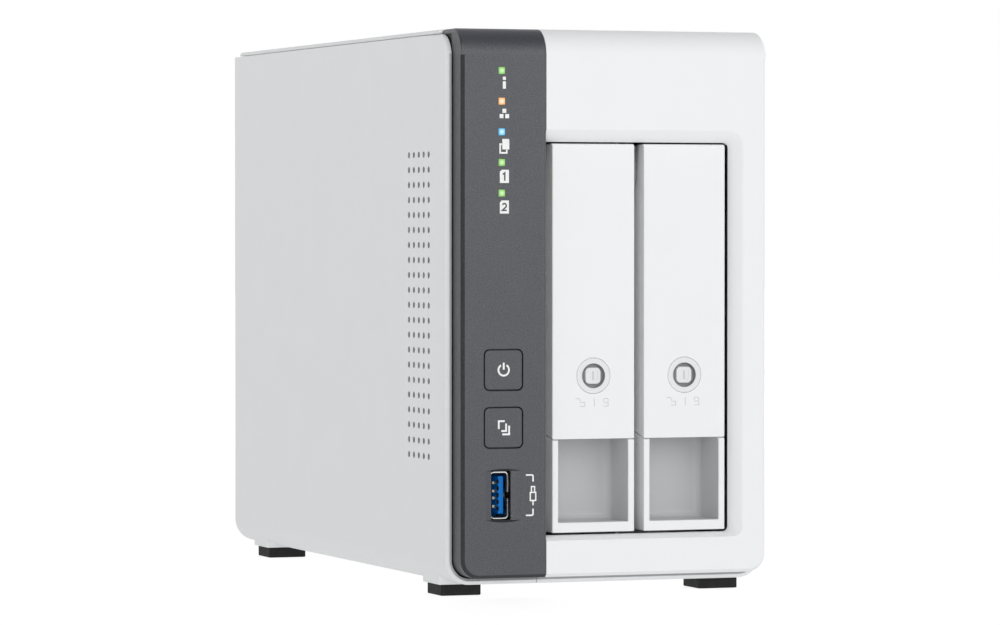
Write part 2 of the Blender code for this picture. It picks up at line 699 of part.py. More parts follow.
def drive_cage(finish):
    """Sheet-metal box round both bays, open at the front and the rear."""
    cage = piece("drive_cage", block(CAGE_X, CAGE_Y, CAGE_Z), finish)
    inner_x = (CAGE_X[0] + SHEET, CAGE_X[1] - SHEET)
    inner_z = (CAGE_Z[0] + SHEET, CAGE_Z[1] - SHEET)
    cut(cage, block(inner_x, (CAGE_Y[0] - 1, CAGE_Y[1] + 1), inner_z))
    middle = (TRAY_LEFT_X[0] + TRAY_WIDTH + TRAY_LEFT_X[1] - WEB_OFFSET) / 2
    rib_x = (middle - 0.5, middle + 0.5)
    add(
        cage,
        block(rib_x, (CAGE_Y[0] + 1, CAGE_Y[1] - 1), (CAGE_Z[0] + 0.5, CAGE_Z[0] + 3.4)),
        block(rib_x, (CAGE_Y[0] + 1, CAGE_Y[1] - 1), (CAGE_Z[1] - 3.4, CAGE_Z[1] - 0.5)),
    )
    windows = []
    for y in (-80.0, -34.0, 12.0):
        windows.append(block((CAGE_X[0] - 1, CAGE_X[1] + 1), (y, y + 38), (36.0, 118.0)))
        for x in ((-18.0, 5.0), (11.0, 34.0)):
            windows.append(block(x, (y, y + 38), (CAGE_Z[0] - 1, CAGE_Z[1] + 1)))
    cut(cage, *windows)


def backplane(board_finish, socket_finish):
    """Board across the rear of the bays, with one drive socket for each bay."""
    y = (BACKPLANE_Y, BACKPLANE_Y + BOARD_THICKNESS)
    board = piece("backplane_board", block((-22.6, 37.5), y, (19.0, 88.0)), board_finish)
    cut(board, *[block(x, (y[0] - 1, y[1] + 1), (76.0, 90.0)) for x in ((-14, 6), (14, 34))])
    low = DRIVE_BOTTOM_Z + 5
    for index, left in enumerate(TRAY_LEFT_X):
        x = left + 0.1 + 6.5
        shroud = block((x - 3.2, x + 3.2), (57.4, BACKPLANE_Y - 0.2), (low, low + 42))
        socket = piece(f"drive_socket_{index + 1}", shroud, socket_finish)
        add(socket, block((x - 0.9, x + 0.9), (52.2, 58.0), (low + 2, low + 40)))


def main_board(board_finish, metal, socket_finish):
    """Upright board in the left compartment, with a finned heat sink and the backplane socket."""
    x = (MAIN_BOARD_X, MAIN_BOARD_X + BOARD_THICKNESS)
    piece("main_board", block(x, (-62.0, 104.0), (20.0, 140.0)), board_finish)
    piece("backplane_socket", block((x[1] + 0.2, -22.9), (61.6, 66.0), (30.0, 76.0)), socket_finish)
    base_x, root_x, tip_x = MAIN_BOARD_X - 0.2, MAIN_BOARD_X - 2.4, MAIN_BOARD_X - 12.5
    fins, pitch, thickness = 8, 5.6, 1.4
    start = -34.0
    outline = [(base_x, start), (tip_x, start)]
    for fin in range(fins):
        y = start + fin * pitch
        outline += [(tip_x, y)] if fin else []
        outline += [(tip_x, y + thickness), (root_x, y + thickness)]
        if fin < fins - 1:
            outline.append((root_x, y + pitch))
    outline[-1] = (base_x, start + (fins - 1) * pitch + thickness)
    piece("heat_sink", prism(outline, "Z", 62.0, 102.0), metal)


# -------------------------------------------------------------------- rear


def network_jack(name, low, finish):
    """Network jack with its square mouth towards the rear."""
    x, z = PORT_X, (low, low + JACK_HEIGHT)
    jack = piece(name, block(x, (87.5, REAR_OUTER_Y + 0.4), z), finish)
    cut(jack, block((x[0] + 1.2, x[1] - 2.4), (97.0, REAR_OUTER_Y + 1), (z[0] + 2.1, z[1] - 2.1)))


def rear_port(name, low, finish):
    """Rear data port: sleeve and tongue in one block."""
    x, z = (REAR_PORT_LEFT, PORT_X[1]), (low, low + REAR_PORT_HEIGHT)
    port = piece(name, block(x, (93.5, REAR_OUTER_Y + 0.4), z), finish)
    cut(port, block((x[0] + 0.5, x[1] - 0.5), (99.0, REAR_OUTER_Y + 1), (z[0] + 0.5, z[1] - 0.5)))
    add(port, block((x[0] + 1.4, x[0] + 3.2), (98.5, REAR_OUTER_Y - 0.8), (z[0] + 1.2, z[1] - 1.2)))


def power_jack(finish):
    """Round low-voltage inlet with its centre pin."""
    x, z = POWER_CENTRE
    body = block((x - POWER_HALF, PORT_X[1]), (94.0, REAR_OUTER_Y + 0.2), (z - POWER_HALF, z + POWER_HALF))
    jack = piece("power_jack", body, finish)
    cut(jack, rod("Y", POWER_CENTRE, 3.2, 99.0, REAR_OUTER_Y + 1))
    add(jack, rod("Y", POWER_CENTRE, 1.0, 98.5, REAR_OUTER_Y - 1.5, 8))


def reset_parts(button_finish, switch_finish):
    """Recessed reset button and the switch that it presses."""
    face_y = REAR_OUTER_Y - 0.5
    flange_y = REAR_INNER_Y - 0.25
    end_y = flange_y - 2.6
    profile = ((face_y, 1.3), (flange_y, 1.3), (flange_y, 2.3))
    profile += ((flange_y - 1, 2.3), (flange_y - 1, 1.3), (end_y, 1.3))
    x, z = RESET_CENTRE
    body = turned("Y", RESET_CENTRE, profile, 12)
    piece("reset_button", body, button_finish, (x, face_y, z), smooth=True)
    tip_y = end_y - RESET_TRAVEL - 0.3
    base = rectangle(x - 3, PORT_X[1], z - 3, z + 3)
    piece("reset_switch", prism(base, "Y", tip_y - 4.5, tip_y), switch_finish)


def grille_slots():
    """Level slots that fill a circle in front of the fan, split by a middle post."""
    radius, pitch, height, post = FAN_BORE_RADIUS - 0.5, 5.0, 3.0, 1.5
    slots = []
    for row in range(-6, 7):
        z = row * pitch
        reach = math.sqrt(radius**2 - (abs(z) + height / 2) ** 2)
        for side in (-1, 1):
            across = sorted((FAN_X + side * post, FAN_X + side * reach))
            up = (FAN_Z + z - height / 2, FAN_Z + z + height / 2)
            slots.append(block(across, (REAR_INNER_Y - 1, REAR_OUTER_Y + 1), up))
    return slots


def rear_panel(finish):
    """Rear plate inside the covers: fan grille, port openings and screw holes."""
    corner = CORNER_RADIUS - WALL - 0.35
    half = HALF_WIDTH - WALL - 0.35
    outline = rectangle(-half, half, SHELL_BOTTOM + WALL + 0.35, SIDE_TOP, (corner, corner, 0, 0), 6)
    panel = piece("rear_panel", prism(outline, "Y", REAR_INNER_Y, REAR_OUTER_Y), finish)
    near, far = REAR_INNER_Y - 1, REAR_OUTER_Y + 1
    cut(panel, *grille_slots())
    openings = []
    right = PORT_X[1] + 0.35
    for low in REAR_PORT_LOWS:
        up = (low - 0.35, low + REAR_PORT_HEIGHT + 0.35)
        openings.append(block((REAR_PORT_LEFT - 0.35, right), (near, far), up))
    for low in JACK_LOWS:
        up = (low - 0.35, low + JACK_HEIGHT + 0.35)
        openings.append(block((PORT_X[0] - 0.35, right), (near, far), up))
    x, z = POWER_CENTRE
    reach = POWER_HALF + 0.35
    openings.append(block((x - reach, right), (near, far), (z - reach, z + reach)))
    openings.append(rod("Y", RESET_CENTRE, 1.6, near, far, 12))
    openings.append(block((-38.0, -31.0), (near, far), (134.0, 137.2)))
    for x in (-REAR_SCREW_X, REAR_SCREW_X):
        openings += [rod("Y", (x, z), 1.9, near, far, 12) for z in REAR_SCREW_Z]
    for x, z in fan_corners():
        openings.append(rod("Y", (x, z), 2.3, near, far, 12))
    cut(panel, *openings)


def fan_corners():
    half = FAN_HOLE_PITCH / 2
    return [(FAN_X + sx * half, FAN_Z + sz * half) for sx in (-1, 1) for sz in (-1, 1)]


def screw(name, centre, head_radius, shank_radius, length, finish):
    """Pan-head screw driven in from the rear, with a cross recess."""
    seat_y = REAR_OUTER_Y + 0.15
    top_y = seat_y + 1.6
    profile = (
        (top_y, head_radius * 0.72),
        (seat_y + 0.9, head_radius),
        (seat_y, head_radius),
        (seat_y, shank_radius),
        (seat_y - length + 1, shank_radius),
        (seat_y - length, shank_radius * 0.5),
    )
    x, z = centre
    made = piece(name, turned("Y", centre, profile, 12), finish, (x, seat_y, z), smooth=True)
    cut(
        made,
        block((x - 0.3, x + 0.3), (top_y - 0.9, top_y + 1), (z - 1.3, z + 1.3)),
    )


def fan_blade(turn):
    """One twisted blade from inside the hub wall to just short of the bore."""
    inner, outer, thickness = FAN_HUB_RADIUS - 1.5, FAN_BORE_RADIUS - 1.5, 1.2
    rings = []
    for share in (0.0, 0.5, 1.0):
        radius = inner + (outer - inner) * share
        pitch = math.radians(48 - 18 * share)
        chord = 13 + 5 * share
        ring = []
        for along, off in ((-0.5, -0.5), (0.5, -0.5), (0.5, 0.5), (-0.5, 0.5)):
            swing = chord * along * math.cos(pitch) - thickness * off * math.sin(pitch)
            y = chord * along * math.sin(pitch) + thickness * off * math.cos(pitch)
            angle = turn + swing / radius
            x = FAN_X + radius * math.cos(angle)
            ring.append((x, FAN_MIDDLE_Y + y, FAN_Z + radius * math.sin(angle)))
        rings.append(ring)
    return skinned(rings)


def fan(frame_finish, rotor_finish):
    """Square fan on the rear panel: frame with motor base, and a rotor on a short shaft."""
    rear_y = REAR_INNER_Y - 0.3
    front_y = rear_y - FAN_DEPTH
    centre = (FAN_X, FAN_Z)
    body = prism(square(centre, FAN_SIDE, 4.0), "Y", front_y, rear_y)
    frame = piece("fan_frame", body, frame_finish, smooth=True)
    corners = [rod("Y", place, 2.15, front_y - 1, rear_y + 1, 12) for place in fan_corners()]
    cut(frame, rod("Y", centre, FAN_BORE_RADIUS, front_y - 1, rear_y + 1, 40), *corners)
    base_y = rear_y - 3.0
    reach = FAN_BORE_RADIUS + 1
    add(
        frame,
        rod("Y", centre, FAN_HUB_RADIUS, base_y, rear_y, 24),
        block((FAN_X - reach, FAN_X + reach), (base_y + 0.2, rear_y - 0.2), (FAN_Z - 2, FAN_Z + 2)),
        block((FAN_X - 2, FAN_X + 2), (base_y + 0.4, rear_y - 0.4), (FAN_Z - reach, FAN_Z + reach)),
    )
    cut(frame, rod("Y", centre, 1.7, base_y - 1, rear_y - 1.2, 12))
    hub = ((front_y + 1.5, FAN_HUB_RADIUS - 1), (front_y + 2.5, FAN_HUB_RADIUS))
    hub += ((base_y - 0.8, FAN_HUB_RADIUS), (base_y - 0.8, 1.5), (base_y + 1.2, 1.5))
    pivot = (FAN_X, FAN_MIDDLE_Y, FAN_Z)
    rotor = piece("fan_rotor", turned("Y", centre, hub, 24), rotor_finish, pivot, smooth=True)
    for blade in range(FAN_BLADES):
        add(rotor, fan_blade(2 * math.pi * blade / FAN_BLADES))


# -------------------------------------------------------------------- feet


def foot(name, x, y, finish):
    """Rubber block with a small chamfer round its lower edge, just clear of its pad."""
    whole, small = (rectangle(x - h, x + h, y - h, y + h) for h in (FOOT_SIZE / 2, FOOT_SIZE / 2 - 0.25))
    stations = ((0.0, small), (0.25, whole), (FOOT_HEIGHT, whole))
    piece(name, stepped("Z", stations), finish)


# ---------------------------------------------------------------- assembly


def build():
    clear_scene()
    white = material("white_plastic", (0.93, 0.94, 0.94), 0.45)
    cover_white = material("cover_plastic", (0.86, 0.87, 0.87), 0.5)
    dark = material("dark_plastic", (0.38, 0.38, 0.39), 0.5)
    grey = material("grey_plastic", (0.6, 0.61, 0.62), 0.5)
    black = material("black_plastic", (0.09, 0.09, 0.1), 0.5)
    rubber = material("foot_rubber", (0.14, 0.14, 0.14), 0.8)
    blue = material("blue_plastic", (0.0, 0.43, 0.84), 0.35)
    clear = material("light_pipe", (0.75, 0.95, 0.7), 0.2)
    steel = material("steel", (0.75, 0.75, 0.74), 0.3, 1.0)
    zinc = material("zinc_sheet", (0.66, 0.67, 0.68), 0.45, 1.0)
    alloy = material("aluminium", (0.78, 0.78, 0.79), 0.35, 1.0)
    board = material("circuit_board", (0.07, 0.3, 0.16), 0.45)

    left_cover(cover_white)
    right_cover(cover_white)
    top_cover(cover_white)
    front_bezel(white)
    control_panel(dark)
    rear_panel(white)

    lights = ("status_light", "network_light", "copy_light", "drive_1_light", "drive_2_light")
    for index, name in enumerate(lights):
        light_pipe(name, index, clear)
    press_button("power_button", POWER_Z, dark)
    press_button("copy_button", COPY_Z, dark)
    push_switch("power_switch", POWER_Z, black)
    push_switch("copy_switch", COPY_Z, black)
    front_board(board)
    front_port(steel, blue)

    for index in range(2):
        tray(index, white, steel, grey, alloy)
    drive_cage(zinc)
    backplane(board, black)
    main_board(board, alloy, black)

    for number, low in enumerate(REAR_PORT_LOWS, 1):
        rear_port(f"rear_port_{number}", low, steel)
    for number, low in enumerate(JACK_LOWS, 1):
        network_jack(f"network_jack_{number}", low, steel)
    power_jack(black)
    reset_parts(black, black)
    fan(black, black)
    for number, place in enumerate(fan_corners(), 1):
        screw(f"fan_screw_{number}", place, 3.4, 1.9, 11.0, steel)
    rear_places = [(x, z) for x in (-REAR_SCREW_X, REAR_SCREW_X) for z in REAR_SCREW_Z]
    for number, place in enumerate(rear_places, 1):
        screw(f"rear_screw_{number}", place, 2.9, 1.4, 9.0, steel)

    for row, y in (("front", FOOT_Y[0]), ("rear", FOOT_Y[1])):
        for side, x in (("left", -FOOT_X), ("right", FOOT_X)):
            foot(f"foot_{row}_{side}", x, y, rubber)


build()
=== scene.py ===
# Looks of the two-bay storage enclosure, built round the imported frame.
# Mesh code works in millimetres in the row frame; a mesh is scaled to metres when it is finished.
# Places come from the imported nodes' boxes. Names in capitals are sizes in millimetres, unless they
# name a share, a count, an angle or a finish.
import json
import math

import bmesh
import bpy
from mathutils import Matrix, Vector


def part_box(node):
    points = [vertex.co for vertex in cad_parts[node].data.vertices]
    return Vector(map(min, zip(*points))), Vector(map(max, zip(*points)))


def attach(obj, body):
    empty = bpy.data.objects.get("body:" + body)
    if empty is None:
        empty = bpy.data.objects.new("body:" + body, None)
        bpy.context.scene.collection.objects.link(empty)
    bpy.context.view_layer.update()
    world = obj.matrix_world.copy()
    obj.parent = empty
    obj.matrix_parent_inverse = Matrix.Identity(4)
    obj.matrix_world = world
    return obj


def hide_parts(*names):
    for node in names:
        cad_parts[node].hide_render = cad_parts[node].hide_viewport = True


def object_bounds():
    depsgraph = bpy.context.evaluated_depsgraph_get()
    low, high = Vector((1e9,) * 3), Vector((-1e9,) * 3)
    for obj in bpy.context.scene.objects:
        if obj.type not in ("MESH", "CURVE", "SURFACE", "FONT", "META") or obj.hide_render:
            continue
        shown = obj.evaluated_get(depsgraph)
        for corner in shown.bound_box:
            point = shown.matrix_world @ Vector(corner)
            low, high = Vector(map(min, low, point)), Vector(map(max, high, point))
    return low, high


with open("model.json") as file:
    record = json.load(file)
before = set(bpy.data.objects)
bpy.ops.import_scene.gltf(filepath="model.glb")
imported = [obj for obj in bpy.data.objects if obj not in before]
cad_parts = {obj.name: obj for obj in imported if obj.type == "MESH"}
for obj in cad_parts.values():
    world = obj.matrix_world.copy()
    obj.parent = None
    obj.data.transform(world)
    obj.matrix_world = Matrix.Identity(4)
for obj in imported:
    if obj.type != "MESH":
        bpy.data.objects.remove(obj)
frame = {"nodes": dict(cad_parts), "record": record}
CAD_BOX = [list(corner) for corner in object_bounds()]
RECORD = frame["record"]
BODY_OF = {node: body for body, nodes in RECORD["behaviour"]["bodies"].items() for node in nodes}
SLOT_OF = {part["node"]: part["material_slot"] for part in RECORD["subparts"]}
FEET = [node for node in frame["nodes"] if node.startswith("foot_")]
LIGHTS = ("status_light", "network_light", "copy_light", "drive_1_light", "drive_2_light")

MM = 0.001
SHARP = math.radians(28)  # edges that turn more than this stay sharp
TOUCH = 0.05  # how close two places are that count as the same

# Covers
WALL = 1.85
CORNER = 7.5
PAD_DROP = 0.6
PAD_MARGIN = 1.0
RIM_ROUND = 1.45
RIM_STEP = 0.2
SEAM_STEP = 0.35
SEAM_STEP_TOP = 3.5
VENT_PITCH = 4.5
VENT_COLUMNS = 5
VENT_ROWS = 21
VENT_RADIUS = 0.92
VENT_BACK = 15.4
VENT_DOWN = 35.4
UNDER_SLOTS = 8
UNDER_PITCH = 8
UNDER_FIRST = -44
UNDER_REACH = (-8, 30)
LID_WALL = 1.2
LID_FLANGE = (46.8, 48.4)

# Front mouldings
TOP_ARC = 8.0
LOW_CORNER = 5.45
TOP_EDGE = 1.2
FACET = 1.0
PANEL_WALL = 2.2
BEZEL_WALL = 4.25
BEZEL_SIDE = 2.0
PANEL_GAP = 0.2
FITTING_GAP = 0.25
PORT_GAP = 0.95
PORT_EDGE = 0.1
SCOOP_DEPTH = 0.8
SCOOP_HALF = 5.5
SCOOP_SLOPE = 0.65
BAND_DEPTH = 3.0
BAND_SAG = 0.16
MOUTH_RIGHT = 7.3
MOUTH_LOW = 10.75
MOUTH_HIGH = 132.25
MOUTH_OUTER_RADIUS = 3.5
BAND_SIDE = 3.95
BAND_LOW = 1.45
BAND_HIGH = 3.6
MOUTH_INNER_RADIUS = 1.6
MOUTH_UNDERCUT = 0.2
LIP = 0.22
LIGHT_SIDE = 2.0
BUTTON_FLANGE = 2.0
BUTTON_ROUND = 1.5

# Trays
POCKET_SIDE = 1.95
POCKET_FLOOR = 3.0
POCKET_DEPTH = 15.5
POCKET_LIP = 0.35
HANDLE_WALL = 1.8
SLOPE = math.tan(math.radians(13))
LOCK_HEIGHT = 65.65
LOCK_RADIUS = 5.3
LOCK_FLANGE = 6.35
LOCK_WELL = 3.58
KEY_SIDE = 4.9
HINGE_BACK = 3.75
HINGE_DROP = 5.3
RAIL = 2.5

# Prints
INK = 0.01
INK_ROOT = 0.05  # how far a print reaches into its face
STROKE = 0.55
ICON_SHIFT = 0.75
BADGE_DROP = 4.1

# Rear
GRILLE_RADIUS = 32.5
GRILLE_PITCH = 5.0
GRILLE_HALF = 1.5
GRILLE_ROWS = 6
THREAD = 0.5
FAN_BORE = 33.0
HUB_RADIUS = 14.0
PORT_CONTACTS = (-3.5, -1.0, 1.0, 3.5)
JACK_CONTACTS = [(index - 3.5) * 1.02 for index in range(8)]


# ---- Frame


def extent(node):
    """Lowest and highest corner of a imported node, in millimetres."""
    low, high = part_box(node)
    return low / MM, high / MM


def spans(node):
    """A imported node's box as pairs of low and high along X, Y and Z."""
    return tuple(zip(*extent(node)))


def middle(node):
    low, high = extent(node)
    return (low + high) / 2


def face_centre(node):
    """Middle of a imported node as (x, z)."""
    low, high = extent(node)
    return (low.x + high.x) / 2, (low.z + high.z) / 2


def about(centre, half):
    return centre - half, centre + half


def grown(span, by):
    return span[0] - by, span[1] + by


# ---- Outlines


def arc(centre, radius, start, stop, steps):
    """Points on an arc, from the angle start to the angle stop in degrees."""
    turns = [math.radians(start + (stop - start) * i / steps) for i in range(steps + 1)]
    return [(centre[0] + radius * math.cos(a), centre[1] + radius * math.sin(a)) for a in turns]


def rectangle(left, right, low, high, radii=0, steps=8):
    """Outline with one radius, or four: low left, low right, high right, high left."""
    corners = (
        (left, low, 1, 1, 180),
        (right, low, -1, 1, 270),
        (right, high, -1, -1, 0),
        (left, high, 1, -1, 90),
    )
    points = []
    each = radii if isinstance(radii, tuple) else (radii,) * 4
    for (x, z, side, up, start), radius in zip(corners, each):
        if radius:
            points += arc((x + side * radius, z + up * radius), radius, start, start + 90, steps)
        else:
            points.append((x, z))
    return points


def square(centre, side, radius=0, steps=8):
    return rectangle(*about(centre[0], side / 2), *about(centre[1], side / 2), radius, steps)


def circle(centre, radius, steps=48):
    return arc(centre, radius, 0, 360, steps)[:-1]


def at(origin, points):
    return [(origin[0] + x, origin[1] + z) for x, z in points]


def quarter_round(radius):
    """Pairs of depth and inset down a rounded edge."""
    turns = [math.radians(turn) for turn in (0, 30, 60, 90)]
    return [(radius * (1 - math.cos(a)), radius * (1 - math.sin(a))) for a in turns]


# ---- Solids


def stepped(axis, stations):
    """Closed body through outlines of equal point counts, as (place along the axis, points)."""
    body = bmesh.new()
    loops = []
    for along, points in stations:
        placed = {
            "X": [(along, a, b) for a, b in points],
            "Y": [(a, along, b) for a, b in points],
            "Z": [(a, b, along) for a, b in points],
        }
        loops.append([body.verts.new(Vector(point)) for point in placed[axis]])
    return closed(body, loops)


def closed(body, loops):
    """Walls between loops of vertices, and a cap at both ends."""
    count = len(loops[0])
    for near, far in zip(loops, loops[1:]):
        for i in range(count):
            j = (i + 1) % count
            body.faces.new((near[i], near[j], far[j], far[i]))
    body.faces.new(loops[0])
    body.faces.new(list(reversed(loops[-1])))
    bmesh.ops.recalc_face_normals(body, faces=body.faces)
    return body


def prism(points, axis, start, stop):
    return stepped(axis, ((start, points), (stop, points)))


def bar(axis, across, up, along, radius=0, steps=8):
    """Straight bar with rounded long edges, from three pairs of low and high."""
    return prism(rectangle(*across, *up, radius, steps), axis, *along)


def softened(body, width, steps=3, chosen=None):
    """Rounds the sharp edges of a body, or those of them that chosen accepts."""
    edges = [edge for edge in body.edges if edge.is_manifold and edge.calc_face_angle(0) > SHARP]
    if chosen:
        edges = [edge for edge in edges if chosen(edge)]
    settings = {"segments": steps, "profile": 0.5, "affect": "EDGES", "clamp_overlap": True}
    bmesh.ops.bevel(body, geom=edges, offset=width, **settings)
    return body


def block(x, y, z, edge=0.0, steps=2):
    body = bar("Y", x, z, y)
    return softened(body, edge, steps) if edge else body


def turned(axis, centre, profile, steps=48):
    """A closed turned body from (place along the axis, radius) pairs, capped at both ends."""
    return stepped(axis, [(along, circle(centre, radius, steps)) for along, radius in profile])


def rod(axis, centre, radius, start, stop, steps=32):
    return turned(axis, centre, ((start, radius), (stop, radius)), steps)


def flared(outline_of, front, back, lip=LIP):
    """Cutter for a hole whose front rim is rounded; outline_of(grow) gives its outline."""
    stations = [(front - 1, outline_of(lip))]
    for turn in (0, 30, 60, 90):
        depth = math.sin(math.radians(turn))
        stations.append((front + lip * depth, outline_of(lip * (1 - depth**2) ** 2)))
    stations.append((back, outline_of(0)))
    return stepped("Y", stations)


def together(bodies):
    whole = bmesh.new()
    for body in bodies:
        mesh = bpy.data.meshes.new("part")
        body.to_mesh(mesh)
        body.free()
        whole.from_mesh(mesh)
        bpy.data.meshes.remove(mesh)
    return whole


# ---- Objects


def made(name, body, *finishes):
    mesh = bpy.data.meshes.new(name)
    body.to_mesh(mesh)
    body.free()
    for finish in finishes:
        mesh.materials.append(finish)
    obj = bpy.data.objects.new(name, mesh)
    bpy.context.scene.collection.objects.link(obj)
    return obj


def body_of(obj):
    body = bmesh.new()
    body.from_mesh(obj.data)
    return body


def shaped(obj, operation, bodies, slot=0):
    """Applies one Boolean to the object's mesh; new faces take the finish in that slot."""
    tool = together(bodies)
    for face in tool.faces:
        face.material_index = slot
    helper = made("helper", tool, *obj.data.materials)
    modifier = obj.modifiers.new("shape", "BOOLEAN")
    modifier.object = helper
    modifier.operation = operation
    modifier.solver = "EXACT"
    graph = bpy.context.evaluated_depsgraph_get()
    result = bpy.data.meshes.new_from_object(obj.evaluated_get(graph), depsgraph=graph)
    obj.modifiers.clear()
    obj.data = result
    bpy.data.objects.remove(helper, do_unlink=True)


def cut(obj, *bodies, slot=0):
    shaped(obj, "DIFFERENCE", bodies, slot)


def add(obj, *bodies):
    for body in bodies:
        shaped(obj, "UNION", [body])


def rounded(obj, width, steps, chosen):
    body = softened(body_of(obj), width, steps, chosen)
    body.to_mesh(obj.data)
    body.free()


def ring_cutter(axis, centre, outer, inner, start, stop, steps):
    ring = made("ring", rod(axis, centre, outer, start, stop, steps))
    cut(ring, rod(axis, centre, inner, start - 1, stop + 1, steps))
    body = body_of(ring)
    bpy.data.objects.remove(ring, do_unlink=True)
    return body


def detail(obj, node):
    """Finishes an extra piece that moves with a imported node."""
    obj.data.transform(Matrix.Scale(MM, 4))
    obj.data.shade_smooth()
    obj.data.set_sharp_from_angle(angle=SHARP)
    modifier = obj.modifiers.new("even_shading", "WEIGHTED_NORMAL")
    modifier.keep_sharp = True
    modifier.weight = 80
    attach(obj, BODY_OF[node])


def extra(name, node, finish, *bodies):
    """An extra piece of separate bodies and one finish."""
    detail(made(name, together(bodies), finish), node)


def stands_for(obj, node):
    """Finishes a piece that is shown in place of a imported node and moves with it."""
    detail(obj, node)
    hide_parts(node)


def stand_in(node, word, finish, body):
    """A piece of one body and one finish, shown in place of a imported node."""
    stands_for(made(f"{node}_{word}", body, finish), node)


# ---- Materials


class Graph:
    """A node tree while it is put together."""

    def __init__(self, tree):
        self.tree = tree

    def feed(self, socket, value):
        """Links a socket to another one, or sets its own value."""
        if isinstance(value, bpy.types.NodeSocket):
            self.tree.links.new(value, socket)
        else:
            socket.default_value = value

    def node(self, kind, settings=(), **values):
        made_node = self.tree.nodes.new("ShaderNode" + kind)
        for key, value in settings:
            setattr(made_node, key, value)
        for key, value in values.items():
            self.feed(made_node.inputs[key.replace("_", " ")], value)
        return made_node

    def maths(self, kind, operation, *values):
        """Arithmetic on numbers (Math) or vectors (VectorMath) that gives one number."""
        made_node = self.node(kind, (("operation", operation),))
        for socket, value in zip(made_node.inputs, values):
            self.feed(socket, value)
        return made_node.outputs["Value"]


class Look(Graph):
    """A material while it is put together."""

    def __init__(self, name, colour, roughness, metallic=0.0):
        self.material = bpy.data.materials.new(name)
        self.material.use_nodes = True
        super().__init__(self.material.node_tree)
        self.base = self.tree.nodes["Principled BSDF"]
        self.colour = colour
        self.set("Base Color", (*colour, 1))
        self.set("Roughness", roughness)
        self.set("Metallic", metallic)
        self.place = self.node("TexCoord").outputs["Object"]

    def set(self, name, value):
        self.feed(self.base.inputs[name], value)

    def noise(self, size, detail_levels=2.0, stretch=(1, 1, 1)):
        """Noise with features about size millimetres across, drawn out along an axis by stretch."""
        scaled = self.node("Mapping", Vector=self.place, Scale=stretch).outputs[0]
        settings = {"Scale": 1 / (size * MM), "Detail": detail_levels}
        return self.node("TexNoise", Vector=scaled, **settings).outputs["Fac"]

    def ranged(self, value, low, high, start=0.0, stop=1.0):
        ends = {"From_Min": start, "From_Max": stop, "To_Min": low, "To_Max": high}
        return self.node("MapRange", Value=value, **ends).outputs["Result"]

    def mixed(self, share, first, second):
        mix = self.node("Mix", (("data_type", "RGBA"),), Factor=share)
        for socket, value in zip(mix.inputs[6:8], (first, second)):
            self.feed(socket, (*value, 1) if isinstance(value, tuple) else value)
        return mix.outputs[2]

    def tinted(self, factor):
        return tuple(min(channel * factor, 1.0) for channel in self.colour)

    def speckled(self, value, dark, light):
        """The colour between two tints, by the middle of a noise's range."""
        return self.mixed(self.ranged(value, 0, 1, 0.3, 0.7), self.tinted(dark), self.tinted(light))

    def mottled(self, size, amount):
        """Slow drift of the colour."""
        share = self.ranged(self.noise(size, 3), 0, 1, 0.35, 0.65)
        return self.mixed(share, self.tinted(1 - amount), self.tinted(1 + amount))

    def edge(self, radius):
        """1 along edges that turn within the radius, 0 on flats."""
        bevel = self.node("Bevel", (("samples", 4),), Radius=radius * MM).outputs[0]
        normal = self.node("NewGeometry").outputs["Normal"]
        return self.ranged(self.maths("VectorMath", "DOT_PRODUCT", bevel, normal), 1, 0, 0.8, 0.99)

    def relief(self, height, depth):
        """Fine surface relief of the given depth in millimetres."""
        bump = self.node("Bump", Height=height, Distance=depth * MM, Strength=1.0)
        self.set("Normal", bump.outputs[0])


def moulded(name, colour, roughness, grain=0.3, depth=0.01, speckle=0.02, edge_highlight=1.08, gloss=0.5):
    """Moulded plastic with a fine spark-eroded grain, slight mottling and a painted highlight that
    lightens its edges.
    """
    look = Look(name, colour, roughness)
    drift = look.mottled(14, speckle / 2)
    fine = look.noise(grain, 3)
    base = look.mixed(0.5, drift, look.speckled(fine, 1 - speckle, 1 + speckle))
    # Painted highlight: along rounded edges the colour moves towards a lighter tint, where light
    # would catch them.
    edge = look.edge(0.35)
    look.set("Base Color", look.mixed(look.ranged(edge, 0, 0.5), base, look.tinted(edge_highlight)))
    shine = look.ranged(fine, gloss * (1 - speckle), gloss * (1 + speckle), 0.3, 0.7)
    look.set("Specular IOR Level", shine)
    look.set("Roughness", look.ranged(look.noise(2.5), roughness - 0.05, roughness + 0.05))
    look.relief(fine, depth)
    return look.material


def sheet_metal(name, colour, roughness, stretch=(1, 1, 1), grain=0.5, depth=0.004):
    """Metal with drawn or rolled streaks and faint smudges."""
    look = Look(name, colour, roughness, 1.0)
    streaks = look.noise(grain, 4, stretch)
    smudge = look.noise(9, 3)
    look.set("Base Color", look.speckled(streaks, 0.88, 1.08))
    blend = look.mixed(0.5, streaks, smudge)
    look.set("Roughness", look.ranged(blend, roughness - 0.08, roughness + 0.12, 0.3, 0.7))
    look.relief(streaks, depth)
    return look.material


def spangled(name, colour):
    """Galvanised sheet with its crystal pattern."""
    look = Look(name, colour, 0.42, 1.0)
    cells = look.node("TexVoronoi", Vector=look.place, Scale=1 / (5 * MM))
    value = look.node("SeparateColor", Color=cells.outputs["Color"]).outputs[0]
    look.set("Base Color", look.mixed(value, look.tinted(0.85), look.tinted(1.1)))
    look.set("Roughness", look.ranged(value, 0.34, 0.52))
    look.relief(look.noise(1.2, 3), 0.003)
    return look.material


def rubber(name, colour):
    look = Look(name, colour, 0.75)
    grain = look.noise(0.5, 4)
    look.set("Base Color", look.speckled(grain, 0.8, 1.3))
    look.set("Roughness", look.ranged(look.noise(3), 0.65, 0.85))
    look.relief(grain, 0.03)
    return look.material


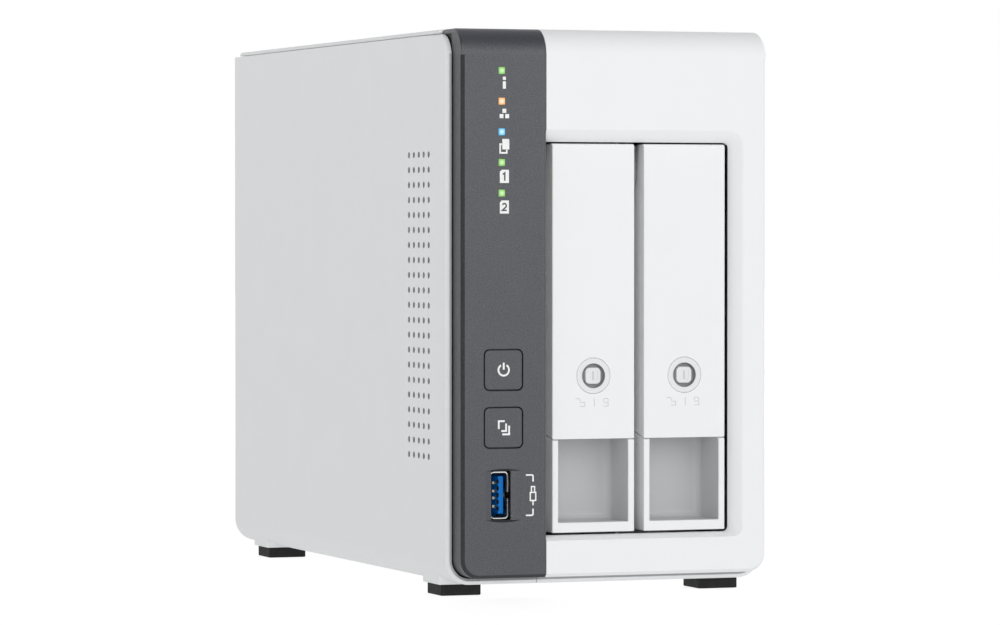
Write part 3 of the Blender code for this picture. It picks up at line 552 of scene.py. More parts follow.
def solder_mask(name, colour):
    """Circuit board: lacquer over copper tracks that run both ways."""
    look = Look(name, colour, 0.3)
    upright = look.node("Mapping", Vector=look.place, Rotation=(0.0, math.pi / 2, 0.0))
    sizes = {"Scale": 220.0, "Mortar_Size": 0.05, "Brick_Width": 1.6, "Row_Height": 0.35}
    tracks = look.node("TexBrick", Vector=upright.outputs[0], **sizes).outputs["Fac"]
    look.set("Base Color", look.mixed(look.ranged(tracks, 0, 1), look.colour, look.tinted(1.9)))
    look.set("Roughness", look.ranged(look.noise(2), 0.22, 0.4))
    look.relief(tracks, 0.02)
    return look.material


def glowing(name, colour, core):
    """End of a lit light pipe: a bright core, the colour of the light round it, and a dim rim."""
    unlit, rim_glow = 0.12, 0.35
    look = Look(name, tuple(channel * unlit for channel in colour), 0.25)
    across = look.node("SeparateXYZ", Vector=look.node("TexCoord").outputs["Generated"])
    flat = look.node("CombineXYZ", X=across.outputs["X"], Z=across.outputs["Z"]).outputs[0]
    distance = look.maths("VectorMath", "DISTANCE", flat, (0.5, 0, 0.5))
    grain = look.ranged(look.noise(0.4), -0.02, 0.02)
    reach = look.maths("Math", "ADD", distance, grain)
    look.set("Emission Color", look.mixed(look.ranged(reach, 0, 1, 0.04, 0.3), core, colour))
    look.set("Emission Strength", look.ranged(reach, 1.0, rim_glow, 0.36, 0.6))
    look.set("Coat Weight", 0.4)
    return look.material


def printed(name, colour):
    """Screen-printed ink."""
    look = Look(name, colour, 0.55)
    look.set("Base Color", look.mottled(0.6, 0.04))
    look.set("Roughness", look.ranged(look.noise(0.5), 0.5, 0.62))
    look.relief(look.noise(0.15), 0.003)
    return look.material


WHITE = moulded("cover_plastic", (0.905, 0.919, 0.925), 0.55)
FRONT_WHITE = moulded("front_plastic", (0.90, 0.908, 0.915), 0.5, speckle=0.015)
DARK = moulded("panel_plastic", (0.028, 0.031, 0.042), 0.4, 0.35, 0.012, 0.22, 1.2, gloss=1.0)
BLACK = moulded("black_plastic", (0.02, 0.02, 0.022), 0.45, 0.4, 0.015, 0.15, 1.6)
GREY = moulded("lock_plastic", (0.82, 0.83, 0.84), 0.42, 0.25, 0.008)
# Painted shade: a dark grey for the sunk middle of the lock, standing in for the shade in it.
WELL_SHADE = moulded("painted_well_shade", (0.3, 0.305, 0.31), 0.5, 0.25, 0.008, 0.05)
# Painted shade: a grey a little darker than the lock, for the walls of the key slit, standing in for
# the shade in it.
SLIT_SHADE = moulded("painted_slit_shade", (0.66, 0.67, 0.68), 0.5, 0.25, 0.008)
# Painted shade: a darker white for the inside of the finger pockets, standing in for the shade in
# them.
POCKET_SHADE = moulded("painted_pocket_shade", (0.62, 0.63, 0.636), 0.5)
# Painted shade: a mid grey for the walls of the vent bores and the seam step, standing in for the
# shade inside them.
HOLLOW_SHADE = moulded("painted_hollow_shade", (0.46, 0.466, 0.472), 0.6, speckle=0.05)
# Painted shade: a grey for the step inside the front rims, standing in for the shade there.
SHADE = moulded("painted_rim_shade", (0.56, 0.567, 0.573), 0.6)
# Painted shade: near black for the insides of the front mouldings, the gaps, ledges and port hole
# round the bays and the port, and the panel's facet, standing in for the shadow there and for the
# dark reflection on the facet.
SHADOW_BLACK = moulded("painted_shadow_black", (0.028, 0.029, 0.034), 0.6, 0.5, 0.02, 0.2)
SIGN = printed("grey_ink", (0.66, 0.66, 0.66))
CLIP = moulded("clip_plastic", (0.3, 0.31, 0.32), 0.5, 0.4, 0.015, 0.06, 1.2)
BLUE = moulded("port_plastic", (0.0, 0.18, 0.62), 0.35, 0.3, 0.004, 0.05, 1.2, 0.15)
STEEL = sheet_metal("plated_steel", (0.72, 0.7, 0.67), 0.24, (1, 1, 6))
SCREW = sheet_metal("screw_steel", (0.48, 0.48, 0.48), 0.25, (4, 4, 1))
ALLOY = sheet_metal("cast_alloy", (0.62, 0.63, 0.64), 0.38, (1, 0.15, 1), depth=0.006)
GOLD = moulded("contact_gold", (1.0, 0.9, 0.5), 0.25, 0.2, 0.003, 0.05, gloss=1.0)
ZINC = spangled("galvanised_sheet", (0.6, 0.61, 0.62))
RUBBER = rubber("foot_rubber", (0.005, 0.005, 0.005))
BOARD = solder_mask("circuit_board", (0.012, 0.09, 0.035))
PRINT = printed("white_ink", (0.92, 0.92, 0.92))
LABEL = printed("label_paper", (0.5, 0.5, 0.49))
LAMP_LENS = moulded("lamp_lens", (0.6, 0.62, 0.55), 0.2, depth=0.004)
LIT = {
    "light_green": glowing("lit_green", (0.22, 0.54, 0.10), (0.60, 0.90, 0.46)),
    "light_amber": glowing("lit_amber", (0.87, 0.42, 0.14), (1.0, 0.84, 0.60)),
    "light_blue": glowing("lit_blue", (0.08, 0.48, 0.80), (0.60, 0.88, 1.0)),
}


# ---- Covers


def cover_sizes(node):
    """A cover's side (1 right, -1 left), half width, bottom above its pads, and seam."""
    low, high = extent(node)
    side = 1 if high.x > -low.x else -1
    return side, max(high.x, -low.x), low.z + PAD_DROP, low.x if side > 0 else -high.x


def sheet(node, outer, inner, beyond=0):
    """Cross-section of a cover between two insets from its outer face, run on past the seam."""
    side, half, bottom, seam = cover_sizes(node)
    top = extent(node)[1].z
    centre = (half - CORNER, bottom + CORNER)
    points = [(half - outer, top)] + arc(centre, CORNER - outer, 0, -90, 16)
    points += [(seam - beyond, bottom + outer), (seam - beyond, bottom + inner)]
    points += arc(centre, CORNER - inner, -90, 0, 16) + [(half - inner, top)]
    return [(side * x, z) for x, z in points]


def foot_pad(node, foot):
    """Pad over a foot, run up into the rounded corner of its cover."""
    side, half, bottom, _ = cover_sizes(node)
    x, y, _ = spans(foot)
    near, far = grown(sorted(map(abs, x)), PAD_MARGIN)
    centre = (half - CORNER, bottom + CORNER)
    radius = CORNER - WALL / 2
    reach = -math.degrees(math.acos((far - centre[0]) / radius))
    points = [(near, bottom - PAD_DROP), (far, bottom - PAD_DROP)]
    points += arc(centre, radius, reach, -90, 6) + [(near, bottom + WALL / 2)]
    pad = prism([(side * x, z) for x, z in points], "Y", *grown(y, PAD_MARGIN))
    return softened(pad, 0.25, 2, lambda edge: all(v.co.z < bottom for v in edge.verts))


def side_cover(node):
    """Shell of a side cover with a rounded front rim, steps behind it painted with shade, and the
    foot pads.
    """
    low, high = extent(node)
    side, half, bottom, seam = cover_sizes(node)
    section = prism(sheet(node, 0, WALL), "Y", low.y, high.y)
    cover = made(f"{node}_shell", section, WHITE, HOLLOW_SHADE, SHADE)
    corner = arc((low.y + CORNER, high.z - CORNER), CORNER, 180, 90, 16)
    corner += [(low.y + CORNER, high.z + 1), (low.y - 1, high.z + 1), (low.y - 1, high.z - CORNER)]
    cut(cover, prism(corner, "X", *sorted((side * (half + 1), side * (half - WALL - 1)))))
    centre_x, centre_z = half - CORNER, bottom + CORNER

    def outer_rim(edge):
        """Whether an edge is on the outer face, away from the rear end and the bottom seam."""
        for vertex in edge.verts:
            x, y, z = abs(vertex.co.x), vertex.co.y, vertex.co.z
            from_centre = math.hypot(x - centre_x, z - centre_z)
            on_corner = abs(from_centre - CORNER) < TOUCH and z < centre_z
            on_face = abs(x - half) < TOUCH or abs(z - bottom) < TOUCH or on_corner
            if not on_face or y > high.y - TOUCH:
                return False
        return not all(abs(side * v.co.x - seam) < TOUCH for v in edge.verts)

    rounded(cover, RIM_ROUND, 5, outer_rim)
    # The step inside the front rim takes the rim shade grey, painted shade.
    rim_step = sheet(node, RIM_ROUND - 0.3, WALL + 0.5, 1)
    cut(cover, prism(rim_step, "Y", low.y - 1, low.y + RIM_STEP), slot=2)
    # The low step at the seam takes the hollow shade grey, a painted shadow line.
    seam_step = sheet(node, RIM_ROUND - 0.1, WALL + 0.5, 1)
    seam_step = [point for point in seam_step if point[1] < bottom + SEAM_STEP_TOP]
    cut(cover, prism(seam_step, "Y", low.y - 1, low.y + SEAM_STEP), slot=1)
    for foot in FEET:
        if (middle(foot).x > 0) == (side > 0):
            add(cover, foot_pad(node, foot))
    return cover


def left_cover():
    cover = side_cover("left_cover")
    low, high = extent("left_cover")
    rim = VENT_RADIUS + 0.05
    bore = ((-1, rim), (0, rim), (0.06, VENT_RADIUS + 0.01), (0.25, VENT_RADIUS))
    bore += ((WALL + 1, VENT_RADIUS),)
    profile = [(low.x + depth, radius) for depth, radius in bore]
    holes = []
    for column in range(VENT_COLUMNS):
        for row in range(VENT_ROWS):
            y, z = low.y + VENT_BACK + column * VENT_PITCH, high.z - VENT_DOWN - row * VENT_PITCH
            holes.append(turned("X", (y, z), profile, 16))
    # The vent bores take the hollow shade grey, painted shade inside the holes.
    cut(cover, *holes, slot=1)
    stands_for(cover, "left_cover")


def right_cover():
    cover = side_cover("right_cover")
    low, _ = extent("right_cover")
    through = (low.z, low.z + PAD_DROP + WALL + 1)
    rows = [about(UNDER_FIRST + row * UNDER_PITCH, 1.5) for row in range(UNDER_SLOTS)]
    cut(cover, *[bar("Z", UNDER_REACH, y, through, 1.45, 6) for y in rows])
    stands_for(cover, "right_cover")


def top_cover():
    x, y, z = spans("top_cover")
    plate_low = z[1] - LID_WALL
    plate = softened(bar("Y", x, (plate_low, z[1]), y, (0.15, 0.15, 1.0, 1.0), 6), 0.35, 3)
    lid = made("top_cover_plate", plate, WHITE)
    for side in (-1, 1):
        across = sorted(side * place for place in LID_FLANGE)
        add(lid, block(across, (y[0] + 0.5, y[1] - 2.65), (z[0], plate_low + 0.5)))
    stands_for(lid, "top_cover")


# ---- Front mouldings


def front_body(node, wall, stop_y, sides):
    """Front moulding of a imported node, or its hollow when wall is above 0.

    Its top front edge is a large arc, which the tops of its outlines follow as far as stop_y.
    sides says whether the left and the right are outer sides, with rounded corners.
    """
    low, high = extent(node)
    hollow = 1 if wall else 0
    inner_edge = extent("control_panel")[1].x + PANEL_GAP
    left = low.x + wall if sides[0] else inner_edge - 2 * hollow
    right = high.x - wall if sides[1] else high.x + 2 * hollow
    radius = TOP_ARC - wall
    centre = (low.y + TOP_ARC, high.z - TOP_ARC)
    edge = max(TOP_EDGE - wall, 0)
    radii = tuple(LOW_CORNER - wall if on else 0 for on in sides)
    radii += tuple(edge if on else 0 for on in sides[::-1])
    last = math.degrees(math.asin((centre[0] - stop_y) / radius))
    tops = [(high.y + hollow, high.z - wall)] + arc(centre, radius, 90, 90 + last, 16)
    outlines = [(y, rectangle(left, right, low.z + wall, top, radii, 10)) for y, top in tops]
    return stepped("Y", outlines)


def facet_keep(node, sides):
    """What a front moulding keeps of itself: all but a facet that ends where the top arc starts."""
    low, high = extent(node)
    arc_z = high.z - TOP_ARC
    above = [(high.x + 3, arc_z), (high.x + 3, high.z + 1)]
    above += [(low.x - 3, high.z + 1), (low.x - 3, arc_z)]
    stations = []
    for y, inset in ((low.y - 0.5, FACET + 0.5), (low.y + FACET + 0.5, -0.5), (high.y + 1, -0.5)):
        left = low.x + inset if sides[0] else low.x - 2
        right = high.x - inset if sides[1] else high.x + 2
        radii = tuple(LOW_CORNER - inset if on else 0 for on in sides) + (0, 0)
        points = rectangle(left, right, low.z + inset, arc_z, radii, 10)
        stations.append((y, points[:-1] + above + points[-1:]))
    return stepped("Y", stations)


def mouth_outline(share, undercut=0):
    """Outline of the bay mouth at a share of the way down its band."""
    low, high = extent("front_bezel")
    right = high.x - MOUTH_RIGHT - BAND_SIDE * share + undercut
    bottom = low.z + MOUTH_LOW + BAND_LOW * share - undercut
    top = low.z + MOUTH_HIGH - BAND_HIGH * share - undercut
    radius = MOUTH_OUTER_RADIUS + (MOUTH_INNER_RADIUS - MOUTH_OUTER_RADIUS) * share
    return rectangle(-30, right, bottom, top, (0, radius, radius, 0), 10)


def bay_mouth():
    """Cutter of the bay mouth: from the front face down a concave slope to the opening."""
    front = extent("front_bezel")[0].y
    stations = [(front - 0.5, mouth_outline(-0.12)), (front, mouth_outline(0))]
    for share in (step / 8 for step in range(1, 9)):
        outline = mouth_outline(share + BAND_SAG * math.sin(math.pi * share))
        stations.append((front + BAND_DEPTH * share, outline))
    stations.append((front + BEZEL_WALL + 1, mouth_outline(1)))
    return stepped("Y", stations)


def front_bezel():
    low, high = extent("front_bezel")
    body = front_body("front_bezel", 0, low.y, (0, 1))
    bezel = made("front_bezel_shell", body, FRONT_WHITE, SHADOW_BLACK)
    cavity = low.y + BEZEL_WALL
    shaped(bezel, "INTERSECT", [facet_keep("front_bezel", (0, 1))])
    # The hollow and the land of the bay mouth take the painted shadow black, standing in for the
    # shade in the gap beside the trays.
    cut(bezel, front_body("front_bezel", BEZEL_SIDE, cavity, (0, 1)), slot=1)
    cut(bezel, bay_mouth())
    land = mouth_outline(1, MOUTH_UNDERCUT)
    cut(bezel, prism(land, "Y", low.y + BAND_DEPTH, cavity + 1), slot=1)
    stile = block((-24.0, -22.4), (cavity + 0.4, high.y - 0.6), (9.0, 165.0))
    joins = ((141.0, 150.0), (9.4, 15.0))
    add(bezel, stile, *[block((-23.0, -19.0), (cavity - 0.4, cavity + 4), z) for z in joins])
    stands_for(bezel, "front_bezel")


def button_hole(node):
    low, high = extent(node)
    side = high.x - low.x - BUTTON_FLANGE + 2 * FITTING_GAP
    centre = face_centre(node)
    return flared(lambda grow: square(centre, side + 2 * grow, 1.7 + grow), low.y, low.y + 4, 0.12)


def port_scoop(slope):
    """Shallow hollow round the front port, curved about an upright axis, with sloping ends."""
    bottom, top = grown(spans("usb_front_shell")[2], 0.2)
    front = extent("control_panel")[0].y
    x = middle("power_button").x
    depth = SCOOP_DEPTH if slope else SCOOP_DEPTH + 0.02
    radius = (SCOOP_HALF**2 + depth**2) / (2 * depth)
    reach = math.degrees(math.asin((SCOOP_HALF + 0.2) / radius))
    stations = []
    for z, lift in ((bottom - slope, depth), (bottom, 0), (top, 0), (top + slope, depth)):
        if slope or not lift:
            centre = (x, front - radius + depth - lift)
            stations.append((z, arc(centre, radius, 90 - reach, 90 + reach, 24)))
    return stepped("Z", stations)


def control_panel():
    low, high = extent("control_panel")
    stop_y = low.y + PANEL_WALL
    body = front_body("control_panel", 0, low.y, (1, 0))
    panel = made("control_panel_cap", body, DARK, SHADOW_BLACK)
    # The facet takes the painted shadow black, a painted dark reflection.
    shaped(panel, "INTERSECT", [facet_keep("control_panel", (1, 0))], slot=1)
    cut(panel, front_body("control_panel", PANEL_WALL, stop_y, (1, 0)))
    through = (low.y - 1, stop_y + 1)
    windows = [square(middle(node).xz, LIGHT_SIDE + 0.1, 0.2, 3) for node in LIGHTS]
    holes = [prism(window, "Y", *through) for window in windows]
    cut(panel, *holes, *map(button_hole, ("power_button", "copy_button")))
    # The sloped ends of the scoop take the painted shadow black, painted shadow above and below the
    # port.
    cut(panel, port_scoop(SCOOP_SLOPE), slot=1)
    cut(panel, port_scoop(0))
    lap_y = (extent("left_cover")[0].y + 0.7, high.y + 1)
    # A shallow step in the panel's side behind the cover rim takes the painted shadow black, a
    # painted shadow where the cover's corner curves away.
    cut(panel, block((low.x - 1, low.x + 0.4), lap_y, (low.z + 20, high.z - 1.5)), slot=1)
    x, _, z = spans("usb_front_shell")
    behind = low.y + SCOOP_DEPTH + 0.6
    # The port hole's walls take the painted shadow black, painted shade round the sleeve.
    for right, start in ((x[1] + PORT_EDGE, through[0]), (x[1] + PORT_GAP, behind)):
        port = bar("Y", (x[0] - 0.35, right), grown(z, 0.2), (start, through[1]), 0.4, 4)
        cut(panel, port, slot=1)
    stands_for(panel, "control_panel")


# ---- Control panel fittings


def light_pipe(node):
    low, high = extent(node)
    collar_y = low.y + PANEL_WALL + FITTING_GAP
    sides = (LIGHT_SIDE - 0.3, LIGHT_SIDE, LIGHT_SIDE + 1.4)
    face, edge, collar = [square(face_centre(node), side, 0.15, 3) for side in sides]
    stations = ((low.y, face), (low.y + 0.12, edge), (collar_y, edge), (collar_y, collar))
    stations += ((collar_y + 1, collar), (collar_y + 1, edge), (high.y, edge))
    stand_in(node, "pipe", LIT[SLOT_OF[node]], stepped("Y", stations))


def press_button(node):
    low, high = extent(node)
    centre = face_centre(node)
    side = high.x - low.x - BUTTON_FLANGE
    inner_y = low.y + PANEL_WALL + FITTING_GAP
    stations = []
    for depth, inset in quarter_round(0.3):
        stations.append((low.y + depth, square(centre, side - 2 * inset, BUTTON_ROUND - inset)))
    flange, stem = square(centre, side + BUTTON_FLANGE, BUTTON_ROUND), square(centre, 4.0, 1.0)
    stations += [(inner_y, square(centre, side, BUTTON_ROUND)), (inner_y, flange)]
    stations += [(inner_y + 1, flange), (inner_y + 1, stem), (high.y, stem)]
    stand_in(node, "cap", DARK, stepped("Y", stations))


def contact_row(name, node, x, y, offsets, half, edge=0.0):
    """Gold contacts one above the other, at offsets from the node's middle."""
    heights = [about(middle(node).z + offset, half) for offset in offsets]
    extra(name, node, GOLD, *[block(x, y, z, edge) for z in heights])


def front_port():
    """Steel sleeve with rolled corners and spring windows round a blue insert with contacts."""
    low, high = extent("usb_front_shell")
    wall = 0.4
    outer = bar("Y", (low.x, high.x), (low.z, high.z), (low.y, high.y), 1.35, 6)
    sleeve = made("usb_front_sleeve", softened(outer, 0.12, 2), STEEL)
    inner_z = (low.z + wall, high.z - wall)
    cut(sleeve, bar("Y", (low.x + 0.12, high.x - 0.5), inner_z, (low.y - 1, high.y + 1), 0.95, 6))
    x, z = middle("usb_front_shell").x, middle("usb_front_shell").z
    side = (high.x - wall - 0.5, high.x + 1)
    depth = (low.y + 1.2, low.y + 6.5)
    windows = [block(side, depth, about(z + step, 1.1)) for step in (-3.2, 3.2)]
    cut(sleeve, *windows, block(side, (low.y - 1, low.y + 3.5), about(z, 0.95)))
    stands_for(sleeve, "usb_front_shell")

    node = "usb_front_tongue"
    (_, y, height), z = spans(node), middle(node).z
    left, right = x - 0.15, x + 1.6
    blade = block((left, right), (y[0], y[1] - 2.5), about(z, 5.55), 0.25, 3)
    tongue = made("usb_front_insert", blade, BLUE, BLACK)
    add(tongue, block(about(x, 2.3), (y[1] - 4.5, y[1]), height, 0.1))
    notch = ((left - 1, left + 0.3), (y[0] - 1, y[0] + 1.6))
    rows = [about(z + (index - 2) * 2.0, 0.62) for index in range(5)]
    cut(tongue, *[block(*notch, row) for row in rows], slot=1)
    stands_for(tongue, node)
    spring = ((left - 0.6, left + 0.1), (y[0] + 2.9, y[0] + 3.5))
    contact_row("usb_front_contacts", node, *spring, PORT_CONTACTS, 0.4, 0.1)


# ---- Prints


def strip(points, width):
    """Outline of a mitred stroke of even width along a line of points."""
    half = width / 2
    left, right = [], []
    for i, point in enumerate(points):
        here = Vector(point)
        before = (here - Vector(points[i - 1])).normalized() if i else None
        after = (Vector(points[i + 1]) - here).normalized() if i < len(points) - 1 else None
        first, second = before or after, after or before
        normal = Vector((-first.y - second.y, first.x + second.x)).normalized()
        grow = half / max(normal.dot(Vector((-first.y, first.x))), 0.3)
        left.append(tuple(here + normal * grow))
        right.append(tuple(here - normal * grow))
    return left + right[::-1]


def ring_strip(centre, radius, width, start, stop, steps=28):
    outer = arc(centre, radius + width / 2, start, stop, steps)
    return outer + arc(centre, radius - width / 2, stop, start, steps)


def inked(name, node, outlines, front, finish=PRINT):
    """Prints closed outlines on a front face, standing proud by the thickness of the ink."""
    depth = (front - INK, front + INK_ROOT)
    extra(name, node, finish, *[prism(points, "Y", *depth) for points in outlines])


def light_icons():
    """Signs under the lights, about each light's middle: white, with dark numbers on two cards."""
    front = extent("control_panel")[0].y
    info = [square((0, -2.3), 0.95, 0.1), rectangle(-0.48, 0.48, -5.35, -3.2, 0.1)]
    network = [square(place, 1.2, 0.05) for place in ((0, -2.85), (-0.88, -4.4), (0.88, -4.4))]
    page = rectangle(-0.65, 1.55, -5.2, -2.1, (0.15, 0.15, 0.35, 0.15))
    back = [(-0.75, -3.65), (-1.32, -3.65), (-1.32, -6.2), (0.75, -6.2), (0.75, -5.3)]
    sheets = [page, strip(back, 0.5)]
    corners = [(-1.42, -1.94), (1.42, -1.94), (1.42, 1.94), (-0.82, 1.94), (-1.42, 1.34)]
    card = [at((0, -BADGE_DROP), corners)]
    one = strip([(-0.5, 0.55), (0.12, 1.0), (0.12, -1.25)], 0.48)
    two = strip(arc((0, 0.38), 0.62, 160, -35, 10) + [(-0.62, -1.0), (0.75, -1.0)], 0.46)
    spots = [(middle(node).x + ICON_SHIFT, middle(node).z) for node in LIGHTS]
    signs = zip(spots, (info, network, sheets, card, card))
    outlines = [at(spot, points) for spot, sign in signs for points in sign]
    numbers = [at((x, z - BADGE_DROP), points) for (x, z), points in zip(spots[3:], (one, two))]
    inked("light_icons", "control_panel", outlines, front)
    inked("bay_numbers", "control_panel", numbers, front - INK, DARK)


def port_marks():
    """Corner brackets beside the port and a plain plug sign between them."""
    front = extent("control_panel")[0].y
    spot = middle("usb_front_shell")
    left, right = spot.x + 7.5, spot.x + 9.75
    outlines = []
    for way in (-1, 1):
        tip, end = spot.z + way * 5.95, spot.z + way * 4.0
        bend = [(left, tip), (right - 0.25, tip), (right, tip - way * 0.25), (right, end)]
        outlines.append(strip(bend, 0.45))
    shell = [(-0.2, -1.5), (-0.85, -1.5), (-0.85, 0.9), (0.85, 0.9), (0.85, -1.5), (-0.2, -1.5)]
    prongs = [(-0.5, 1.1), (-0.5, 2.6), (0.5, 2.6), (0.5, 1.1)]
    plug = [strip(shell, 0.4), strip(prongs, 0.4), rectangle(-0.2, 0.2, -2.9, -1.7)]
    outlines += [at((right, spot.z - 0.1), points) for points in plug]
    inked("port_marks", "control_panel", outlines, front)


def button_icons():
    front = extent("power_button")[0].y
    power = [ring_strip((0, 0), 1.65, STROKE, 122, 418), rectangle(-0.3, 0.3, 0.1, 2.15, 0.12, 3)]
    copies = [
        strip([(-1.55, -0.35), (-1.55, 1.95), (0.3, 1.95)], STROKE),
        strip([(-0.75, -0.95), (0.75, -0.95), (0.75, 1.25)], STROKE),
        strip([(-0.45, -1.95), (1.7, -1.95), (1.7, 0.6)], STROKE),
    ]
    for word, sign in (("power", power), ("copy", copies)):
        x, z = middle(f"{word}_button").xz
        outlines = [at((x + 0.05, z), points) for points in sign]
        inked(f"{word}_icon", f"{word}_button", outlines, front)


# ---- Trays


def lock_signs(x, front, width, near, far):
    """Open padlock, closed padlock and a bar below a lock, between two depths behind the face."""
    z = LOCK_HEIGHT - 7.9
    case = [(-0.75, -1.15), (0.75, -1.15), (0.75, 0), (-0.75, 0)]
    opened = [(-2.2, 1.15), (-1.0, 1.15), (-0.75, 0.9), (-0.75, 0.3)]
    shut = [(-0.75, 0.3), (-0.75, 0.9), (-0.45, 1.15), (0.45, 1.15), (0.75, 0.9), (0.75, 0.3)]
    lines = []
    for shift, shackle in ((-3.55, opened), (3.9, shut)):
        lines += [strip(at((x + shift, z), points), width) for points in (case, shackle)]
    lines.append(rectangle(*about(x + 0.26, width / 2), z - 1.2, z + 1.2))
    return [prism(points, "Y", front + near, front + far) for points in lines]


def tray_handle(number):
    node = f"tray_{number}_handle"
    low, high = extent(node)
    hinge_y, hinge_z = low.y + HINGE_BACK, high.z - HINGE_DROP
    outline = arc((low.y + 1.0, high.z - 1.0), 1.0, 180, 90, 6) + [
        (low.y + 5.55, high.z),
        (low.y + 5.55, hinge_z - 5.0),
        (high.y, hinge_z - 11.0),
        (high.y, low.z + (high.y - low.y) * SLOPE),
        (low.y, low.z),
    ]
    lever = softened(prism(outline, "X", low.x, high.x), 0.3, 3)
    handle = made(f"{node}_lever", lever, FRONT_WHITE)
    face_y = low.y + 2.0
    centre = (middle(node).x, LOCK_HEIGHT)
    hollow_x = (low.x + HANDLE_WALL, high.x - HANDLE_WALL)
    cut(handle, block(hollow_x, (face_y, high.y + 1), (low.z + 4, hinge_z + 3.0)))
    cut(handle, rod("X", (hinge_y, hinge_z), 1.1, low.x + 0.7, high.x - 0.7))
    bore = LOCK_RADIUS + 0.08
    cut(handle, flared(lambda grow: circle(centre, bore + grow, 64), low.y, face_y + 1, 0.06))
    cut(handle, *lock_signs(centre[0], low.y, 0.24, -1, 0.2))
    stands_for(handle, node)
    extra(f"{node}_signs", node, SIGN, *lock_signs(centre[0], low.y, 0.23, 0.12, 0.195))


def tray_lock(number):
    """Lock barrel: flush ring, sunk middle painted with shade, raised square with a key slit painted
    with shade, and a cam behind.
    """
    node = f"tray_{number}_lock"
    low, high = extent(node)
    centre = x, z = middle(f"tray_{number}_handle").x, LOCK_HEIGHT
    front, floor = low.y, low.y + 1.3
    flange, tail = front + 2.25, front + 6.8
    profile = ((front, LOCK_RADIUS - 0.1), (front + 0.06, LOCK_RADIUS - 0.02))
    profile += ((front + 0.2, LOCK_RADIUS), (flange, LOCK_RADIUS), (flange, LOCK_FLANGE))
    profile += ((flange + 1.2, LOCK_FLANGE), (flange + 1.2, 2.5), (tail, 2.5))
    lock = made(f"{node}_barrel", turned("Y", centre, profile, 64), GREY, WELL_SHADE)
    # The sunk middle takes the well shade grey, painted shade.
    cut(lock, flared(lambda grow: circle(centre, LOCK_WELL + grow, 48), front, floor, 0.12), slot=1)
    add(lock, block((x - 1.4, high.x), (tail - 1.6, tail - 0.4), about(z, 1.4), 0.15))
    stations = []
    for depth, less in ((0.3, 0.3), (0.36, 0.1), (0.55, 0), (1.35, 0)):
        stations.append((front + depth, square(centre, KEY_SIDE - 2 * less, 1.4 - less)))
    key = made(f"{node}_key_square", stepped("Y", stations), GREY, SLIT_SHADE)
    cut(key, prism(square(centre, 3.1, 0.9), "Y", front - 1, front + 0.5))
    # The key slit takes the slit shade grey, painted shade.
    cut(key, bar("Y", about(x, 0.3), about(z, 1.35), (front - 1, front + 0.62), 0.28, 5), slot=1)
    detail(key, node)
    stands_for(lock, node)


def tray_front(number):
    """Side outline of the tray body: pocket box below the seam, plate behind the handle."""
    handle_low, handle_high = extent(f"tray_{number}_handle")
    low, _ = extent(f"tray_{number}_frame")
    plate_y = handle_high.y + 0.55
    seam, top = handle_low.z - 0.3, handle_high.z - 0.3
    back = low.y + 17.15
    box = [(low.y, low.z), (back, low.z), (back, top), (plate_y, top)]
    return box + [(plate_y, seam + (plate_y - low.y) * SLOPE), (low.y, seam)]


def finger_pocket(number):
    """Cutters of the finger pocket: its hollow with wide inner corners, and its rounded rim."""
    low, _ = extent(f"tray_{number}_frame")
    handle_low, handle_high = extent(f"tray_{number}_handle")
    x = (handle_low.x + POCKET_SIDE, handle_high.x - POCKET_SIDE)
    floor, top = low.z + POCKET_FLOOR, handle_low.z + 2.6
    back = low.y + POCKET_DEPTH
    hollow = block(x, (low.y - 1, back), (floor, top))

    def inner(edge):
        """The back edges at the sides and at the floor."""
        spot = (edge.verts[0].co + edge.verts[1].co) / 2
        return spot.y > back - 0.1 and spot.z < top - 0.1

    softened(hollow, 2.3, 8, inner)
    rim = []
    for depth, grow in ((-1, 1), (0, 1), (0.1, 0.4), (POCKET_LIP, 0), (0.6, 0)):
        by = POCKET_LIP * grow
        outline = rectangle(*grown(x, by), floor - by, top, (0.4, 0.4, 0, 0), 4)
        rim.append((low.y + depth, outline))
    return hollow, stepped("Y", rim)


def tray_frame(number):
    node = f"tray_{number}_frame"
    low, high = extent(node)
    handle_low, handle_high = extent(f"tray_{number}_handle")
    left, right = handle_low.x, handle_high.x
    outline = tray_front(number)
    back, plate_y = outline[1][0], outline[3][0]
    box = softened(prism(outline, "X", left, right), 0.3, 3)
    body = made(f"{node}_body", box, FRONT_WHITE, POCKET_SHADE)
    rails = rail_low, rail_high = low.z + 2.3, handle_high.z - 5.1
    add(
        body,
        block((low.x, left + 1), (back - 4, back), rails, 0.2),
        block((low.x, low.x + 1.0), (back - 2, high.y - 6), rails, 0.2),
        block((low.x, right), (back - 2, high.y), (rail_low, rail_low + RAIL), 0.3),
        block((low.x, right), (back - 2, high.y), (rail_high - RAIL, rail_high), 0.3),
    )
    hinge = (low.y + HINGE_BACK, handle_high.z - HINGE_DROP)
    root_y = plate_y + 0.5
    ear = arc(hinge, 1.55, 45, 225, 16) + [(root_y, hinge[1] - 10), (root_y, hinge[1] - 3.5)]
    for ear_x in (left + 2.1, right - 4.1):
        add(body, prism(ear, "X", ear_x, ear_x + 2.0))
    hollow, rim = finger_pocket(number)
    # The pocket's hollow takes the pocket shade colour, painted shade.
    cut(body, hollow, slot=1)
    cut(body, rim)
    side = (left - 5, left + 0.5)
    windows = [bar("X", (y, y + 40), (34.0, 117.0), side, 4.0, 6) for y in (-82, -36, 10)]
    plate_window = block((left + 2, right - 2), (plate_y + 2.4, back + 1), (56.0, 124.0), 1.0, 3)
    cut(body, plate_window, rod("X", hinge, 1.05, left, right), *windows)
    stands_for(body, node)


